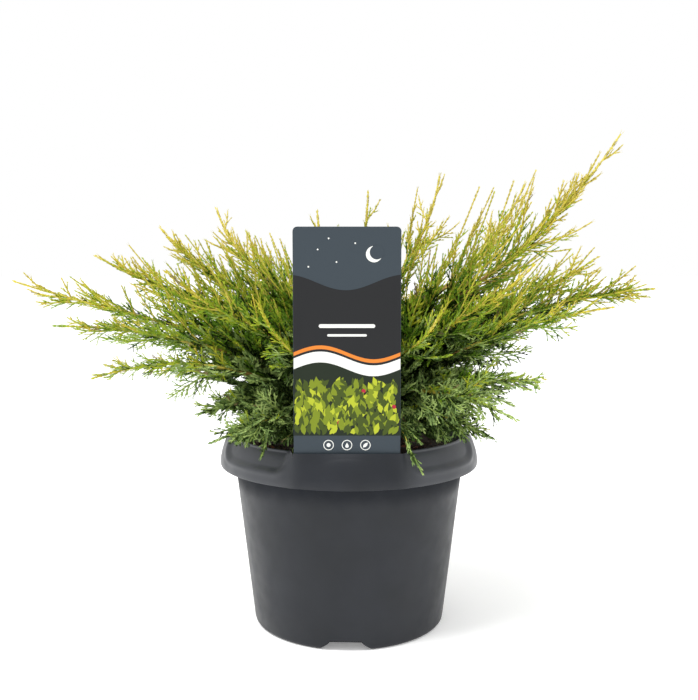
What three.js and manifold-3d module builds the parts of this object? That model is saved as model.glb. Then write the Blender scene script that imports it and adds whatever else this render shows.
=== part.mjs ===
// A spreading golden juniper in a round nursery pot, with its plant label standing in the pot's rim.
// Millimetres, +Z up. The origin is the middle of the pot's flat underside, and +Y points away from the label.
import * as THREE from "three";
import { mergeVertices } from "three/addons/utils/BufferGeometryUtils.js";
import Module from "manifold-3d";

const wasm = await Module();
wasm.setup();

// Running gap between neighbouring pieces.
const gap = 0.3;

// Pot: a tapered wall that ends in a turned-down collar.
const potHeight = 141;
const footRadius = 70;
const wallTaper = 0.11;
const wallThickness = 1.8;
const floorThickness = 2.5;
const potSides = 44;
const lipRadius = 95;
const lipHeight = 119.5;
const edgeRadius = footRadius + wallTaper * potHeight;

// Four drainage notches in the foot, each a pocket with a hole in its roof.
const notchCount = 4;
const notchHeight = 7;
const notchTopWidth = 24;
const notchFootWidth = 33;
const notchDepth = 15;
const drainRadius = 4;

// Label seat: the flat stretch of the collar in front, with a slot that holds the label upright.
const seatFront = 87.5;
const seatHalfWidth = 40.5;
const seatFloor = 123.5;
const scoopDepth = 3.6;
const scoopMiddle = 43;
const scoopHalfAngle = 17;

// Label: a plain upright card.
const labelWidth = 69.5;
const labelTop = 287.5;
const labelThickness = 0.8;
const labelFace = 85.5;
const labelOffset = -1.3;
const labelCorner = 3;

// Potting soil, with a top that rises and falls in two crossing waves.
const soilHeight = 129;
const soilLump = 2.2;
const soilEdgeDrop = 4;
const soilWaves = { x: [0.31, 0.13], y: [-0.11, 0.27] };

// Trunk: a short leaning stem with a root flare.
const trunkTop = 205;
const trunkLean = new THREE.Vector2(3, 2);
const flareRadius = 11;
const stemRadius = 6.4;
const trunkTipRadius = 4.2;
const flareFall = 9;

// Plumes: each is one long shoot that leaves the trunk, arches out and ends in a whip.
// azimuth: degrees from +X towards +Y. reach: how far out its tip is. tip: how high its tip is.
// start: where it leaves the trunk. leave and arrive: its slope in degrees at the trunk and at the tip.
// bare: the share of its length that is a bare bough, or 0 where foliage starts at the trunk.
const plumes = [
  { name: "right_tall", azimuth: -9, reach: 190, tip: 353, start: 186, leave: 34, arrive: 58, bare: 0.24 },
  { name: "right_wide", azimuth: 3, reach: 229, tip: 245, start: 162, leave: 33, arrive: 4, bare: 0.24 },
  { name: "right_inner", azimuth: 23, reach: 222, tip: 268, start: 168, leave: 36, arrive: 30, bare: 0.24 },
  { name: "right_low", azimuth: -22, reach: 186, tip: 235, start: 157, leave: 31, arrive: 10, bare: 0.26 },
  { name: "right_skirt", azimuth: -34, reach: 150, tip: 188, start: 146, leave: 34, arrive: 2, bare: 0.3 },
  { name: "right_fan", azimuth: -51, reach: 160, tip: 170, start: 152, leave: 30, arrive: -16, bare: 0.28 },
  { name: "right_rim", azimuth: -46, reach: 134, tip: 152, start: 139, leave: 42, arrive: -18, bare: 0 },
  { name: "right_middle", azimuth: -40, reach: 150, tip: 262, start: 174, leave: 42, arrive: 44, bare: 0.26 },
  { name: "front_right", azimuth: -63, reach: 126, tip: 236, start: 169, leave: 44, arrive: 52, bare: 0.3 },
  { name: "front_right_rim", azimuth: -66, reach: 101, tip: 137, start: 161, leave: 30, arrive: -62, bare: 0 },
  { name: "front_middle", azimuth: -92, reach: 62, tip: 262, start: 184, leave: 52, arrive: 78, bare: 0 },
  { name: "front_left", azimuth: -115, reach: 130, tip: 240, start: 160, leave: 44, arrive: 54, bare: 0.3 },
  { name: "left_rim", azimuth: -125, reach: 146, tip: 155, start: 137, leave: 42, arrive: -8, bare: 0 },
  { name: "left_middle", azimuth: -139, reach: 150, tip: 258, start: 173, leave: 42, arrive: 40, bare: 0.26 },
  { name: "left_hang", azimuth: -141, reach: 125, tip: 166, start: 142, leave: 36, arrive: -14, bare: 0.3 },
  { name: "left_skirt", azimuth: -154, reach: 184, tip: 190, start: 149, leave: 31, arrive: -16, bare: 0.26 },
  { name: "left_low", azimuth: -164, reach: 205, tip: 222, start: 157, leave: 30, arrive: 2, bare: 0.26 },
  { name: "left_wide", azimuth: 179, reach: 245, tip: 250, start: 166, leave: 31, arrive: 18, bare: 0.24 },
  { name: "left_upper", azimuth: 164, reach: 208, tip: 269, start: 177, leave: 35, arrive: 26, bare: 0.25 },
  { name: "left_tall", azimuth: 152, reach: 174, tip: 292, start: 183, leave: 42, arrive: 44, bare: 0.25 },
  { name: "back_left_tall", azimuth: 130, reach: 180, tip: 310, start: 190, leave: 46, arrive: 58, bare: 0.25 },
  { name: "back_left_crest", azimuth: 103, reach: 120, tip: 306, start: 197, leave: 58, arrive: 68, bare: 0.2 },
  { name: "back_crest", azimuth: 76, reach: 62, tip: 318, start: 205, leave: 66, arrive: 80, bare: 0 },
  { name: "back_right_crest", azimuth: 57, reach: 142, tip: 338, start: 191, leave: 54, arrive: 72, bare: 0.22 },
  { name: "back_right_tall", azimuth: 38, reach: 190, tip: 331, start: 179, leave: 42, arrive: 60, bare: 0.24 },
  { name: "back_right_skirt", azimuth: 43, reach: 168, tip: 196, start: 147, leave: 34, arrive: -6, bare: 0.28 },
  { name: "back_right_low", azimuth: 68, reach: 184, tip: 232, start: 160, leave: 36, arrive: 12, bare: 0.26 },
  { name: "back_low", azimuth: 96, reach: 176, tip: 205, start: 150, leave: 36, arrive: -4, bare: 0.28 },
  { name: "back_left_low", azimuth: 117, reach: 188, tip: 240, start: 167, leave: 36, arrive: 18, bare: 0.26 },
  { name: "back_left_skirt", azimuth: 141, reach: 172, tip: 192, start: 146, leave: 34, arrive: -8, bare: 0.28 },
];

// A plume's stem: a woody foot that thins to a whip.
const boughRadius = 2.7;
const whipRadius = 0.6;
const stemThinning = 0.62;
const plumePull = 0.36;

// Growth rule of the foliage: side sprays leave the plume's stem by turns, each a thin blade with swept teeth.
const firstSprayPastBough = 6;
const firstSprayPastTrunk = 26;
const spraySpacing = 24;
const sprayShare = 0.62;
const longestSpray = 84;
const shortestSpray = 18;
const sprayUneven = [0.75, 1.15];
const sprayAngle = 36;
const sprayAngleSpread = 12;
const sprayTurn = 2.4;
const sprayTurnSpread = 0.8;
const sprayLift = 0.32;
const sprayFollow = 0.35;
const sprayThickness = 1.2;
const sprayCore = 1.6;
const sprayEnd = 0.45;
const spraySink = 1.2;
const toothSpacing = 19;
const toothShare = 0.42;
const shortestTooth = 5;
const longestTooth = 32;
const toothUneven = [0.85, 1.15];
const toothSweep = 30;
const firstTooth = { left: 0.7, right: 0.25 };
const toothEnd = 0.92;
const seed = 11;

// Room that twigs leave round the pot's rim and the label.
const rimInside = 6;
const twigRoom = 1.2;
const labelBehind = 3;
const labelBeside = 2;

const radians = THREE.MathUtils.degToRad;
const up = new THREE.Vector3(0, 0, 1);
const lerp = THREE.MathUtils.lerp;

// A repeatable number from 0 to 1 for a plume, a shoot and a use.
function chance(plume, shoot, use) {
  const wave = Math.sin((plume + seed) * 12.9898 + shoot * 78.233 + use * 37.719) * 43758.5453;
  return wave - Math.floor(wave);
}

function solidFrom(geometry) {
  const bare = geometry.clone();
  for (const key of Object.keys(bare.attributes)) {
    if (key !== "position") bare.deleteAttribute(key);
  }
  const merged = mergeVertices(bare, 1e-4);
  return new wasm.Manifold(
    new wasm.Mesh({
      numProp: 3,
      vertProperties: merged.attributes.position.array,
      triVerts: new Uint32Array(merged.index.array),
    }),
  );
}

function geometryFrom(solid) {
  const mesh = solid.getMesh();
  const geometry = new THREE.BufferGeometry();
  geometry.setAttribute("position", new THREE.BufferAttribute(mesh.vertProperties, 3));
  geometry.setIndex(new THREE.BufferAttribute(mesh.triVerts, 1));
  return geometry;
}

function unionOf(solids) {
  return solids.reduce((sum, solid) => sum.add(solid));
}

// A limb: a straight cylinder of a few sides that is bent along a curve and thinned by radiusAt.
function limb(curve, radiusAt, sides, steps) {
  const geometry = new THREE.CylinderGeometry(1, 1, 1, sides, steps);
  const frames = curve.computeFrenetFrames(steps, false);
  const position = geometry.attributes.position;
  const vertex = new THREE.Vector3();
  for (let i = 0; i < position.count; i += 1) {
    vertex.fromBufferAttribute(position, i);
    const step = Math.round((vertex.y + 0.5) * steps);
    const along = step / steps;
    const radius = radiusAt(along);
    const centre = curve.getPointAt(along);
    centre.addScaledVector(frames.normals[step], vertex.x * radius);
    centre.addScaledVector(frames.binormals[step], -vertex.z * radius);
    position.setXYZ(i, centre.x, centre.y, centre.z);
  }
  return geometry;
}

// The trunk's middle line and its radius at a height.
const trunkLine = new THREE.CubicBezierCurve3(
  new THREE.Vector3(0, 0, soilHeight + gap),
  new THREE.Vector3(0, 0, soilHeight + 22),
  new THREE.Vector3(trunkLean.x, trunkLean.y, trunkTop - 20),
  new THREE.Vector3(trunkLean.x, trunkLean.y, trunkTop),
);

function trunkRadius(share) {
  const flare = (flareRadius - stemRadius) * Math.exp(-share * flareFall);
  return lerp(stemRadius, trunkTipRadius, share) + flare;
}

function trunkPoint(height) {
  const share = (height - soilHeight) / (trunkTop - soilHeight);
  return trunkLine.getPointAt(THREE.MathUtils.clamp(share, 0, 1));
}

function plumeLine({ azimuth, reach, tip, start, leave, arrive }) {
  const flat = new THREE.Vector3(Math.cos(radians(azimuth)), Math.sin(radians(azimuth)), 0);
  const slope = (degrees) =>
    flat.clone().multiplyScalar(Math.cos(radians(degrees))).addScaledVector(up, Math.sin(radians(degrees)));
  const from = trunkPoint(start);
  const to = flat.clone().multiplyScalar(reach).setZ(tip);
  const pull = from.distanceTo(to) * plumePull;
  return new THREE.CubicBezierCurve3(
    from,
    from.clone().addScaledVector(slope(leave), pull),
    to.clone().addScaledVector(slope(arrive), -pull),
    to,
  );
}

function stemRadiusAt(share) {
  return lerp(boughRadius, whipRadius, Math.pow(share, stemThinning));
}

const lines = plumes.map(plumeLine);
const samplesPerLine = 40;
const samples = lines.map((line) => line.getSpacedPoints(samplesPerLine));
const pieceOf = new THREE.Line3();
const nearest = new THREE.Vector3();

function distanceToPlume(point, index) {
  let least = Infinity;
  for (let i = 0; i < samplesPerLine; i += 1) {
    pieceOf.set(samples[index][i], samples[index][i + 1]);
    pieceOf.closestPointToPoint(point, true, nearest);
    const radius = stemRadiusAt(i / samplesPerLine);
    least = Math.min(least, nearest.distanceTo(point) - radius);
  }
  return least;
}

function clearOfTrunk(point, radius) {
  const centre = trunkPoint(point.z);
  const share = THREE.MathUtils.clamp((point.z - soilHeight) / (trunkTop - soilHeight), 0, 1);
  return centre.distanceTo(point) > trunkRadius(share) + radius + 2 * gap;
}

// Keeps twigs out of the pot and the soil, and off the label's face.
function clearOfPot(point, radius) {
  const room = radius + twigRoom;
  const out = Math.hypot(point.x, point.y);
  const rimFrom = edgeRadius - rimInside - room;
  if (out > rimFrom && out < lipRadius + room && point.z < potHeight + room) return false;
  if (out <= rimFrom && point.z < soilHeight + soilLump + room) return false;
  const beforeLabel = -point.y > labelFace - labelBehind - room;
  return !(beforeLabel && Math.abs(point.x - labelOffset) < labelWidth / 2 + labelBeside + room);
}

// A twig keeps to its own plume's space: the points that are nearer to it than to any other plume.
function inOwnSpace(point, index, radius) {
  if (!clearOfPot(point, radius) || !clearOfTrunk(point, radius)) return false;
  const own = distanceToPlume(point, index);
  return samples.every(
    (_, other) => other === index || distanceToPlume(point, other) - own > 2 * (radius + gap),
  );
}

function fits(curve, index, radius) {
  const checks = Math.max(4, Math.ceil(curve.getLength() / 3));
  return curve.getSpacedPoints(checks).every((point, i) => i === 0 || inOwnSpace(point, index, radius));
}

// A shoot leaves its parent at an angle, turned round it by roll, and bends forwards and up to the light.
function shootLine(from, along, roll, angle, length) {
  const side = new THREE.Vector3().crossVectors(along, up);
  if (side.lengthSq() < 1e-3) side.set(1, 0, 0);
  side.normalize().applyAxisAngle(along, roll);
  const first = along.clone().multiplyScalar(Math.cos(angle)).addScaledVector(side, Math.sin(angle)).normalize();
  const last = first.clone().lerp(along, sprayFollow).addScaledVector(up, sprayLift).normalize();
  const middle = from.clone().addScaledVector(first, length / 2);
  return new THREE.QuadraticBezierCurve3(from, middle, middle.clone().addScaledVector(last, length / 2));
}

// The shoot at its wanted length, or as much of it as its plume's space can hold, or null.
function fittedShoot(from, along, roll, angle, wanted, index) {
  for (let length = wanted; length >= shortestSpray * 0.7; length *= 0.8) {
    const line = shootLine(from, along, roll, angle, length);
    if (fits(line, index, sprayCore)) return line;
  }
  return null;
}

// A spray: a blade along a shoot, with teeth on both edges that point forwards.
function spray(shoot, parentAlong, index, number) {
  const length = shoot.getLength();
  const across = new THREE.Vector3().crossVectors(parentAlong, shoot.getTangentAt(0)).normalize();
  const at = (along, outwards, through) => {
    const share = THREE.MathUtils.clamp(along / length, 0, 1);
    const forward = shoot.getTangentAt(share);
    const thick = new THREE.Vector3().crossVectors(forward, across).normalize();
    const wide = new THREE.Vector3().crossVectors(thick, forward);
    const point = shoot.getPointAt(share).addScaledVector(forward, Math.min(along, 0));
    return point.addScaledVector(wide, outwards).addScaledVector(thick, through);
  };
  const teeth = Math.max(1, Math.round(length / toothSpacing));
  const core = (share) => lerp(sprayCore, sprayEnd, share);
  const edge = (side) => {
    const points = [];
    const start = side > 0 ? firstTooth.right : firstTooth.left;
    for (let t = 0; t < teeth; t += 1) {
      const root = ((t + start) / (teeth + 0.6)) * length;
      const size = Math.min((length - root) * toothShare + shortestTooth, longestTooth);
      const long = size * lerp(...toothUneven, chance(index, number, t * 2 + side + 9));
      const reach = Math.min(root + long * Math.cos(radians(toothSweep)), length * toothEnd);
      const width = core(0) + long * Math.sin(radians(toothSweep));
      points.push([root, side * core(root / length)]);
      const free = inOwnSpace(at(reach, side * width, 0), index, sprayThickness / 2);
      if (free) points.push([reach, side * width]);
    }
    return [...points, [length * 0.95, side * sprayEnd]];
  };
  const foot = [
    [-spraySink, sprayCore],
    [-spraySink, -sprayCore],
  ];
  const outline = [...foot, ...edge(-1), [length, 0], ...edge(1).reverse()];
  const shape = new THREE.Shape(outline.map(([x, y]) => new THREE.Vector2(x, y)));
  const geometry = new THREE.ExtrudeGeometry(shape, { depth: sprayThickness, bevelEnabled: false });
  const position = geometry.attributes.position;
  for (let i = 0; i < position.count; i += 1) {
    const placed = at(position.getX(i), position.getY(i), position.getZ(i) - sprayThickness / 2);
    position.setXYZ(i, placed.x, placed.y, placed.z);
  }
  return geometry;
}

// The stretch of a line between two shares of its length.
function stretchOf(line, from, to) {
  const points = Array.from({ length: 9 }, (_, i) => line.getPointAt(lerp(from, to, i / 8)));
  return new THREE.CatmullRomCurve3(points);
}

// A mass of foliage: the plume's stem with its side sprays fused on.
function foliage(index) {
  const plume = plumes[index];
  const line = lines[index];
  const length = line.getLength();
  const first = plume.bare > 0 ? plume.bare + gap / length : 0;
  const parts = [limb(stretchOf(line, first, 1), (share) => stemRadiusAt(lerp(first, 1, share)), 3, 6)];
  const leafy = first + (plume.bare > 0 ? firstSprayPastBough : firstSprayPastTrunk) / length;
  const count = Math.floor((length * (1 - leafy)) / spraySpacing);
  for (let k = 0; k < count; k += 1) {
    const share = lerp(leafy, 1, (k + 0.2) / count);
    const toTip = length * (1 - share);
    const wanted = THREE.MathUtils.clamp(toTip * sprayShare, shortestSpray, longestSpray);
    const along = line.getTangentAt(share);
    const shoot = fittedShoot(
      line.getPointAt(share),
      along,
      k * sprayTurn + (chance(index, k, 2) - 0.5) * sprayTurnSpread,
      radians(sprayAngle + (chance(index, k, 3) - 0.5) * sprayAngleSpread),
      wanted * lerp(...sprayUneven, chance(index, k, 1)),
      index,
    );
    if (shoot) parts.push(spray(shoot, along, index, k));
  }
  return geometryFrom(unionOf(parts.map(solidFrom)));
}

function trunk(extra) {
  return limb(trunkLine, (share) => trunkRadius(share) + extra, 10, 6);
}

// Cuts the foot of a limb clear of the trunk, and leaves the scrap on the trunk's far side out.
const trunkRoom = solidFrom(trunk(gap));
function cutAtTrunk(geometry) {
  const bodies = solidFrom(geometry).subtract(trunkRoom).decompose();
  return geometryFrom(bodies.reduce((best, body) => (body.volume() > best.volume() ? body : best)));
}

function bough(index) {
  const { bare } = plumes[index];
  return cutAtTrunk(limb(stretchOf(lines[index], 0, bare), (share) => stemRadiusAt(share * bare), 5, 2));
}

// Outline of the pot in radius and height: under the floor, up the outside and under the collar to its lip,
// over the collar's outer face, and down the inside to the floor.
function potOutline() {
  const wall = (height) => footRadius + wallTaper * height;
  const inside = (height) => wall(height) - wallThickness;
  const shell = [
    [0, 0],
    [footRadius - 1.5, 0],
    [wall(2), 2],
    [wall(134), 134],
    [87, 131.5],
    [91.4, 122],
    [92.4, 117.8],
  ];
  const collar = [
    [94.6, 117.7],
    [lipRadius, lipHeight],
    [94.4, 125],
    [93, 131],
    [90.4, 137],
    [87.4, 140.3],
    [edgeRadius, potHeight],
  ];
  const bowl = [
    [inside(potHeight) + 0.4, potHeight - 0.6],
    [inside(floorThickness), floorThickness],
    [0, floorThickness],
  ];
  const isCollar = (i) => i >= shell.length && i < shell.length + collar.length;
  return { points: [...shell, ...collar, ...bowl].map(([x, y]) => new THREE.Vector2(x, y)), isCollar };
}

// The collar's outer face stands out to a flat seat in front, and dips inwards beside it.
function collarRadius(radius, height, angle) {
  const turn = Math.abs(angle);
  const seatEnd = Math.atan(seatHalfWidth / seatFront);
  if (turn < seatEnd) return Math.max(radius, Math.min(lipRadius - 0.3, seatFront / Math.cos(turn)));
  const away = Math.abs(turn - radians(scoopMiddle)) / radians(scoopHalfAngle);
  const round = Math.cos(Math.min(1, away) * (Math.PI / 2));
  const rise = THREE.MathUtils.smoothstep(height, 124, 131) * (1 - THREE.MathUtils.smoothstep(height, 139, 141));
  return radius - scoopDepth * Math.sqrt(round) * rise;
}

function notchPrism(growth) {
  const top = notchTopWidth / 2 + growth;
  const foot = notchFootWidth / 2 + growth;
  const outline = new THREE.Shape();
  outline.moveTo(-foot, -1);
  outline.lineTo(foot, -1);
  outline.quadraticCurveTo(foot - 3, 1, top, notchHeight + growth);
  outline.lineTo(-top, notchHeight + growth);
  outline.quadraticCurveTo(-foot + 3, 1, -foot, -1);
  const geometry = new THREE.ExtrudeGeometry(outline, {
    depth: notchDepth + growth + 4,
    bevelEnabled: false,
    curveSegments: 3,
  });
  return geometry.rotateX(Math.PI / 2).translate(0, -(footRadius - notchDepth - growth), 0);
}

function roundNotches(make) {
  return Array.from({ length: notchCount }, (_, i) =>
    solidFrom(make().rotateZ((i * 2 * Math.PI) / notchCount)),
  );
}

function drain() {
  const hole = new THREE.CylinderGeometry(drainRadius, drainRadius, 12, 8).rotateX(Math.PI / 2);
  return hole.translate(0, -(footRadius - notchDepth / 2), notchHeight);
}

function labelSlot() {
  const depth = 9;
  const slot = new THREE.BoxGeometry(labelWidth + 2, depth, potHeight - seatFloor + 2);
  return solidFrom(
    slot.translate(labelOffset, -(labelFace + 0.4) + depth / 2, (potHeight + seatFloor) / 2 + 1),
  );
}

function pot() {
  const { points, isCollar } = potOutline();
  const turned = new THREE.LatheGeometry(points, potSides).rotateX(Math.PI / 2);
  const position = turned.attributes.position;
  for (let i = 0; i < position.count; i += 1) {
    if (!isCollar(i % points.length)) continue;
    const [x, y, z] = [position.getX(i), position.getY(i), position.getZ(i)];
    const radius = Math.hypot(x, y);
    const scale = collarRadius(radius, z, Math.atan2(x, -y)) / radius;
    position.setXYZ(i, x * scale, y * scale, z);
  }
  const inner = new THREE.CylinderGeometry(footRadius + 0.4, footRadius - wallThickness, 14, potSides)
    .rotateX(Math.PI / 2)
    .translate(0, 0, 7);
  const pockets = roundNotches(() => notchPrism(wallThickness)).map((solid) => solid.intersect(solidFrom(inner)));
  let made = unionOf([solidFrom(turned), ...pockets]).subtract(labelSlot());
  for (const cut of [...roundNotches(() => notchPrism(0)), ...roundNotches(drain)]) made = made.subtract(cut);
  return geometryFrom(made);
}

// The soil fills the pot up to a lumpy top, which is level where the trunk stands.
function soil() {
  const inside = (height) => footRadius + wallTaper * height - wallThickness - gap;
  const foot = floorThickness + gap;
  const shoulder = soilHeight - soilEdgeDrop;
  const rim = inside(shoulder);
  const outline = [
    [0, foot],
    [inside(foot) - 1.2, foot],
    [rim, shoulder],
    [rim - 5, soilHeight - 1.5],
    [rim * 0.72, soilHeight],
    [rim * 0.45, soilHeight],
    [flareRadius + 4, soilHeight],
    [0, soilHeight],
  ].map(([x, y]) => new THREE.Vector2(x, y));
  const turned = new THREE.LatheGeometry(outline, 22).rotateX(Math.PI / 2);
  const position = turned.attributes.position;
  for (let i = 0; i < position.count; i += 1) {
    const [x, y, z] = [position.getX(i), position.getY(i), position.getZ(i)];
    const radius = Math.hypot(x, y);
    if (z < soilHeight - 2 || radius < flareRadius + 5) continue;
    const wave = Math.sin(x * soilWaves.x[0] + y * soilWaves.x[1]) + Math.cos(x * soilWaves.y[0] + y * soilWaves.y[1]);
    position.setZ(i, z + (wave * soilLump) / 2);
  }
  const pockets = roundNotches(() => notchPrism(wallThickness + gap));
  return geometryFrom(pockets.reduce((left, pocket) => left.subtract(pocket), solidFrom(turned)));
}

function label() {
  const half = labelWidth / 2;
  const foot = seatFloor + gap;
  const card = new THREE.Shape();
  card.moveTo(-half, foot);
  card.lineTo(half, foot);
  card.lineTo(half, labelTop - labelCorner);
  card.absarc(half - labelCorner, labelTop - labelCorner, labelCorner, 0, Math.PI / 2);
  card.lineTo(-half + labelCorner, labelTop);
  card.absarc(-half + labelCorner, labelTop - labelCorner, labelCorner, Math.PI / 2, Math.PI);
  const geometry = new THREE.ExtrudeGeometry(card, { depth: labelThickness, bevelEnabled: false, curveSegments: 3 });
  return geometry.rotateX(Math.PI / 2).translate(labelOffset, -labelFace + labelThickness, 0);
}

const finishes = {
  pot: new THREE.MeshStandardMaterial({ color: "#4b4c50", roughness: 0.5, metalness: 0 }),
  soil: new THREE.MeshStandardMaterial({ color: "#35241c", roughness: 0.95, metalness: 0 }),
  label: new THREE.MeshStandardMaterial({ color: "#3a3c40", roughness: 0.35, metalness: 0 }),
  bark: new THREE.MeshStandardMaterial({ color: "#6d4c36", roughness: 0.9, metalness: 0 }),
  foliage: new THREE.MeshStandardMaterial({ color: "#8a9a3a", roughness: 0.6, metalness: 0 }),
};

const juniper = new THREE.Group();

function add(name, geometry, finish) {
  const mesh = new THREE.Mesh(geometry, finishes[finish]);
  mesh.name = name;
  juniper.add(mesh);
}

add("pot", pot(), "pot");
add("soil", soil(), "soil");
add("label", label(), "label");
add("trunk", trunk(0), "bark");
plumes.forEach((plume, index) => {
  if (plume.bare > 0) add(`bough_${plume.name}`, bough(index), "bark");
  const mass = foliage(index);
  add(`foliage_${plume.name}`, plume.bare > 0 ? mass : cutAtTrunk(mass), "foliage");
});

export default juniper;
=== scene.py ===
# A young spreading juniper with golden shoot tips, in a round nursery pot with a plant label.
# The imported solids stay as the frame. Each limb and mass of foliage is grown again here in finer twigs.
import math
from functools import partial

import bmesh
import bpy
import numpy as np
from mathutils import Matrix, Vector


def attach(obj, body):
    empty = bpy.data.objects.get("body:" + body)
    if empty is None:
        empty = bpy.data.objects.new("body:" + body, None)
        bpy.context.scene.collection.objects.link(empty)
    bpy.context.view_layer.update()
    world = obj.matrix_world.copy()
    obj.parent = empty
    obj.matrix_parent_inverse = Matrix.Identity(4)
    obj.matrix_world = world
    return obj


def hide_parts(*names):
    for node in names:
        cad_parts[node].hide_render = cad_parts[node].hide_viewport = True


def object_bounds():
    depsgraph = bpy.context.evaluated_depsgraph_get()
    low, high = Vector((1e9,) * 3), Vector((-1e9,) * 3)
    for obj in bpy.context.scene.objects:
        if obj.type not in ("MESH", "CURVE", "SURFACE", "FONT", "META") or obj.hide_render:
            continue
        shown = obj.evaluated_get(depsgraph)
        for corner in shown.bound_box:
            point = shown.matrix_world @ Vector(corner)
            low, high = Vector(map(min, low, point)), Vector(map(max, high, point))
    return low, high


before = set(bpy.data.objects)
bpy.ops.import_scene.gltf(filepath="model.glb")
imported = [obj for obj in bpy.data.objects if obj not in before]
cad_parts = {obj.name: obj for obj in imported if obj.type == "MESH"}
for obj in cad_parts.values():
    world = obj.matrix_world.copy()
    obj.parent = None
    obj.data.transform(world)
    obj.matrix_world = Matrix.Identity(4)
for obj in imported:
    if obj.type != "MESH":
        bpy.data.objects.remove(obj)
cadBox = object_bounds()
millimetre = 0.001
up = np.array([0.0, 0.0, 1.0])
print("frame loaded with", len(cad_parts), "solids")


# Small tools for colours, nodes and meshes
def metres(*lengths):
    return tuple(length * millimetre for length in lengths)


def linearColour(code):
    channels = [int(code[i : i + 2], 16) / 255 for i in (1, 3, 5)]
    linear = [c / 12.92 if c <= 0.04045 else ((c + 0.055) / 1.055) ** 2.4 for c in channels]
    return (*linear, 1.0)


def feed(node, inputs):
    # an input takes a value, a socket, or a node, which stands for its first output
    for name, value in inputs.items():
        if isinstance(value, bpy.types.Node):
            value = value.outputs[0]
        if isinstance(value, bpy.types.NodeSocket):
            node.id_data.links.new(value, node.inputs[name])
        else:
            node.inputs[name].default_value = value


def addNode(tree, kind, inputs=None, **settings):
    node = tree.nodes.new(kind)
    for name, value in settings.items():
        setattr(node, name, value)
    feed(node, inputs or {})
    return node


def newMaterial(name, colour, roughness, ior=1.45, specular=0.5):
    material = bpy.data.materials.new(name)
    material.use_nodes = True
    shader = material.node_tree.nodes["Principled BSDF"]
    values = {"Base Color": linearColour(colour), "Roughness": roughness, "IOR": ior}
    feed(shader, {**values, "Specular IOR Level": specular})
    return material, partial(addNode, material.node_tree), shader


def setStops(ramp, *stops):
    # stops: (position, colour) from low to high
    elements = ramp.color_ramp.elements
    while len(elements) < len(stops):
        elements.new(0.5)
    for element, (position, colour) in zip(elements, stops):
        element.position = position
        element.color = linearColour(colour)
    return ramp


def grainFinish(add, shader, grain, stops, strength, depth):
    # one grain colours the surface and raises it
    colour = setStops(add("ShaderNodeValToRGB", {"Fac": grain}), *stops)
    bump = add("ShaderNodeBump", {"Height": grain, "Strength": strength, "Distance": depth})
    feed(shader, {"Base Color": colour, "Normal": bump})


def addPiece(name, mesh, *materials):
    for material in materials:
        mesh.materials.append(material)
    piece = bpy.data.objects.new(name, mesh)
    bpy.context.scene.collection.objects.link(piece)
    return piece


def meshFrom(bm, name):
    mesh = bpy.data.meshes.new(name)
    bm.to_mesh(mesh)
    bm.free()
    return mesh


def plainPiece(source, name):
    # what the modifiers make becomes a plain mesh, and the source goes
    graph = bpy.context.evaluated_depsgraph_get()
    mesh = bpy.data.meshes.new_from_object(source.evaluated_get(graph))
    mesh.name = name
    bpy.data.meshes.remove(source.data)
    return addPiece(name, mesh)


def carvedPiece(name, blank, cutters, material):
    # cutters: (piece, "UNION" or "DIFFERENCE"), which go when the blank is carved
    for cutter, operation in cutters:
        cut = blank.modifiers.new(cutter.name, "BOOLEAN")
        cut.object = cutter
        cut.operation = operation
        cut.solver = "MANIFOLD"
    piece = plainPiece(blank, name)
    for cutter, _ in cutters:
        bpy.data.meshes.remove(cutter.data)
    piece.data.materials.clear()
    piece.data.materials.append(material)
    return piece


def standFor(slot, nodes, *pieces):
    for piece in pieces:
        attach(piece, "root")
        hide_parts(*nodes)


def newTree(name, sizes):
    # a Geometry Nodes tree with named inputs: {label: (kind of socket, value)}
    tree = bpy.data.node_groups.new(name, "GeometryNodeTree")
    for side in ("OUTPUT", "INPUT"):
        tree.interface.new_socket("Geometry", in_out=side, socket_type="NodeSocketGeometry")
    for label, (kind, value) in sizes.items():
        socket = tree.interface.new_socket(label, in_out="INPUT", socket_type="NodeSocket" + kind)
        if value is not None:
            socket.default_value = value
    return tree, partial(addNode, tree), tree.nodes.new("NodeGroupInput").outputs


def growPiece(name, mesh, tree, values):
    source = addPiece(name + "_lines", mesh)
    modifier = source.modifiers.new("growth", "NODES")
    modifier.node_group = tree
    for item in tree.interface.items_tree:
        if item.in_out == "INPUT" and item.name in values:
            modifier[item.identifier] = values[item.name]
    return plainPiece(source, name)


def linesMesh(name, lines):
    # lines: (points in mm, half thickness in mm, tint) for bundles of lines with the same number of points
    mesh = bpy.data.meshes.new(name)
    points = np.concatenate([p.reshape(-1, 3) for p, _, _ in lines]) * millimetre
    thickness = np.concatenate([t.reshape(-1) for _, t, _ in lines]) * millimetre
    tint = np.concatenate([np.repeat(c, p.shape[1]) for p, _, c in lines])
    edges = []
    start = 0
    for p, _, _ in lines:
        index = np.arange(p.shape[0] * p.shape[1]).reshape(p.shape[:2]) + start
        edges.append(np.stack([index[:, :-1], index[:, 1:]], axis=-1).reshape(-1, 2))
        start += index.size
    edges = np.concatenate(edges)
    mesh.vertices.add(len(points))
    mesh.vertices.foreach_set("co", points.astype(np.float32).ravel())
    mesh.edges.add(len(edges))
    mesh.edges.foreach_set("vertices", edges.astype(np.int32).ravel())
    mesh.attributes.new("thickness", "FLOAT", "POINT").data.foreach_set("value", thickness.astype(np.float32))
    mesh.attributes.new("tint", "INT", "POINT").data.foreach_set("value", tint.astype(np.int32))
    mesh.update()
    return mesh


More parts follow.
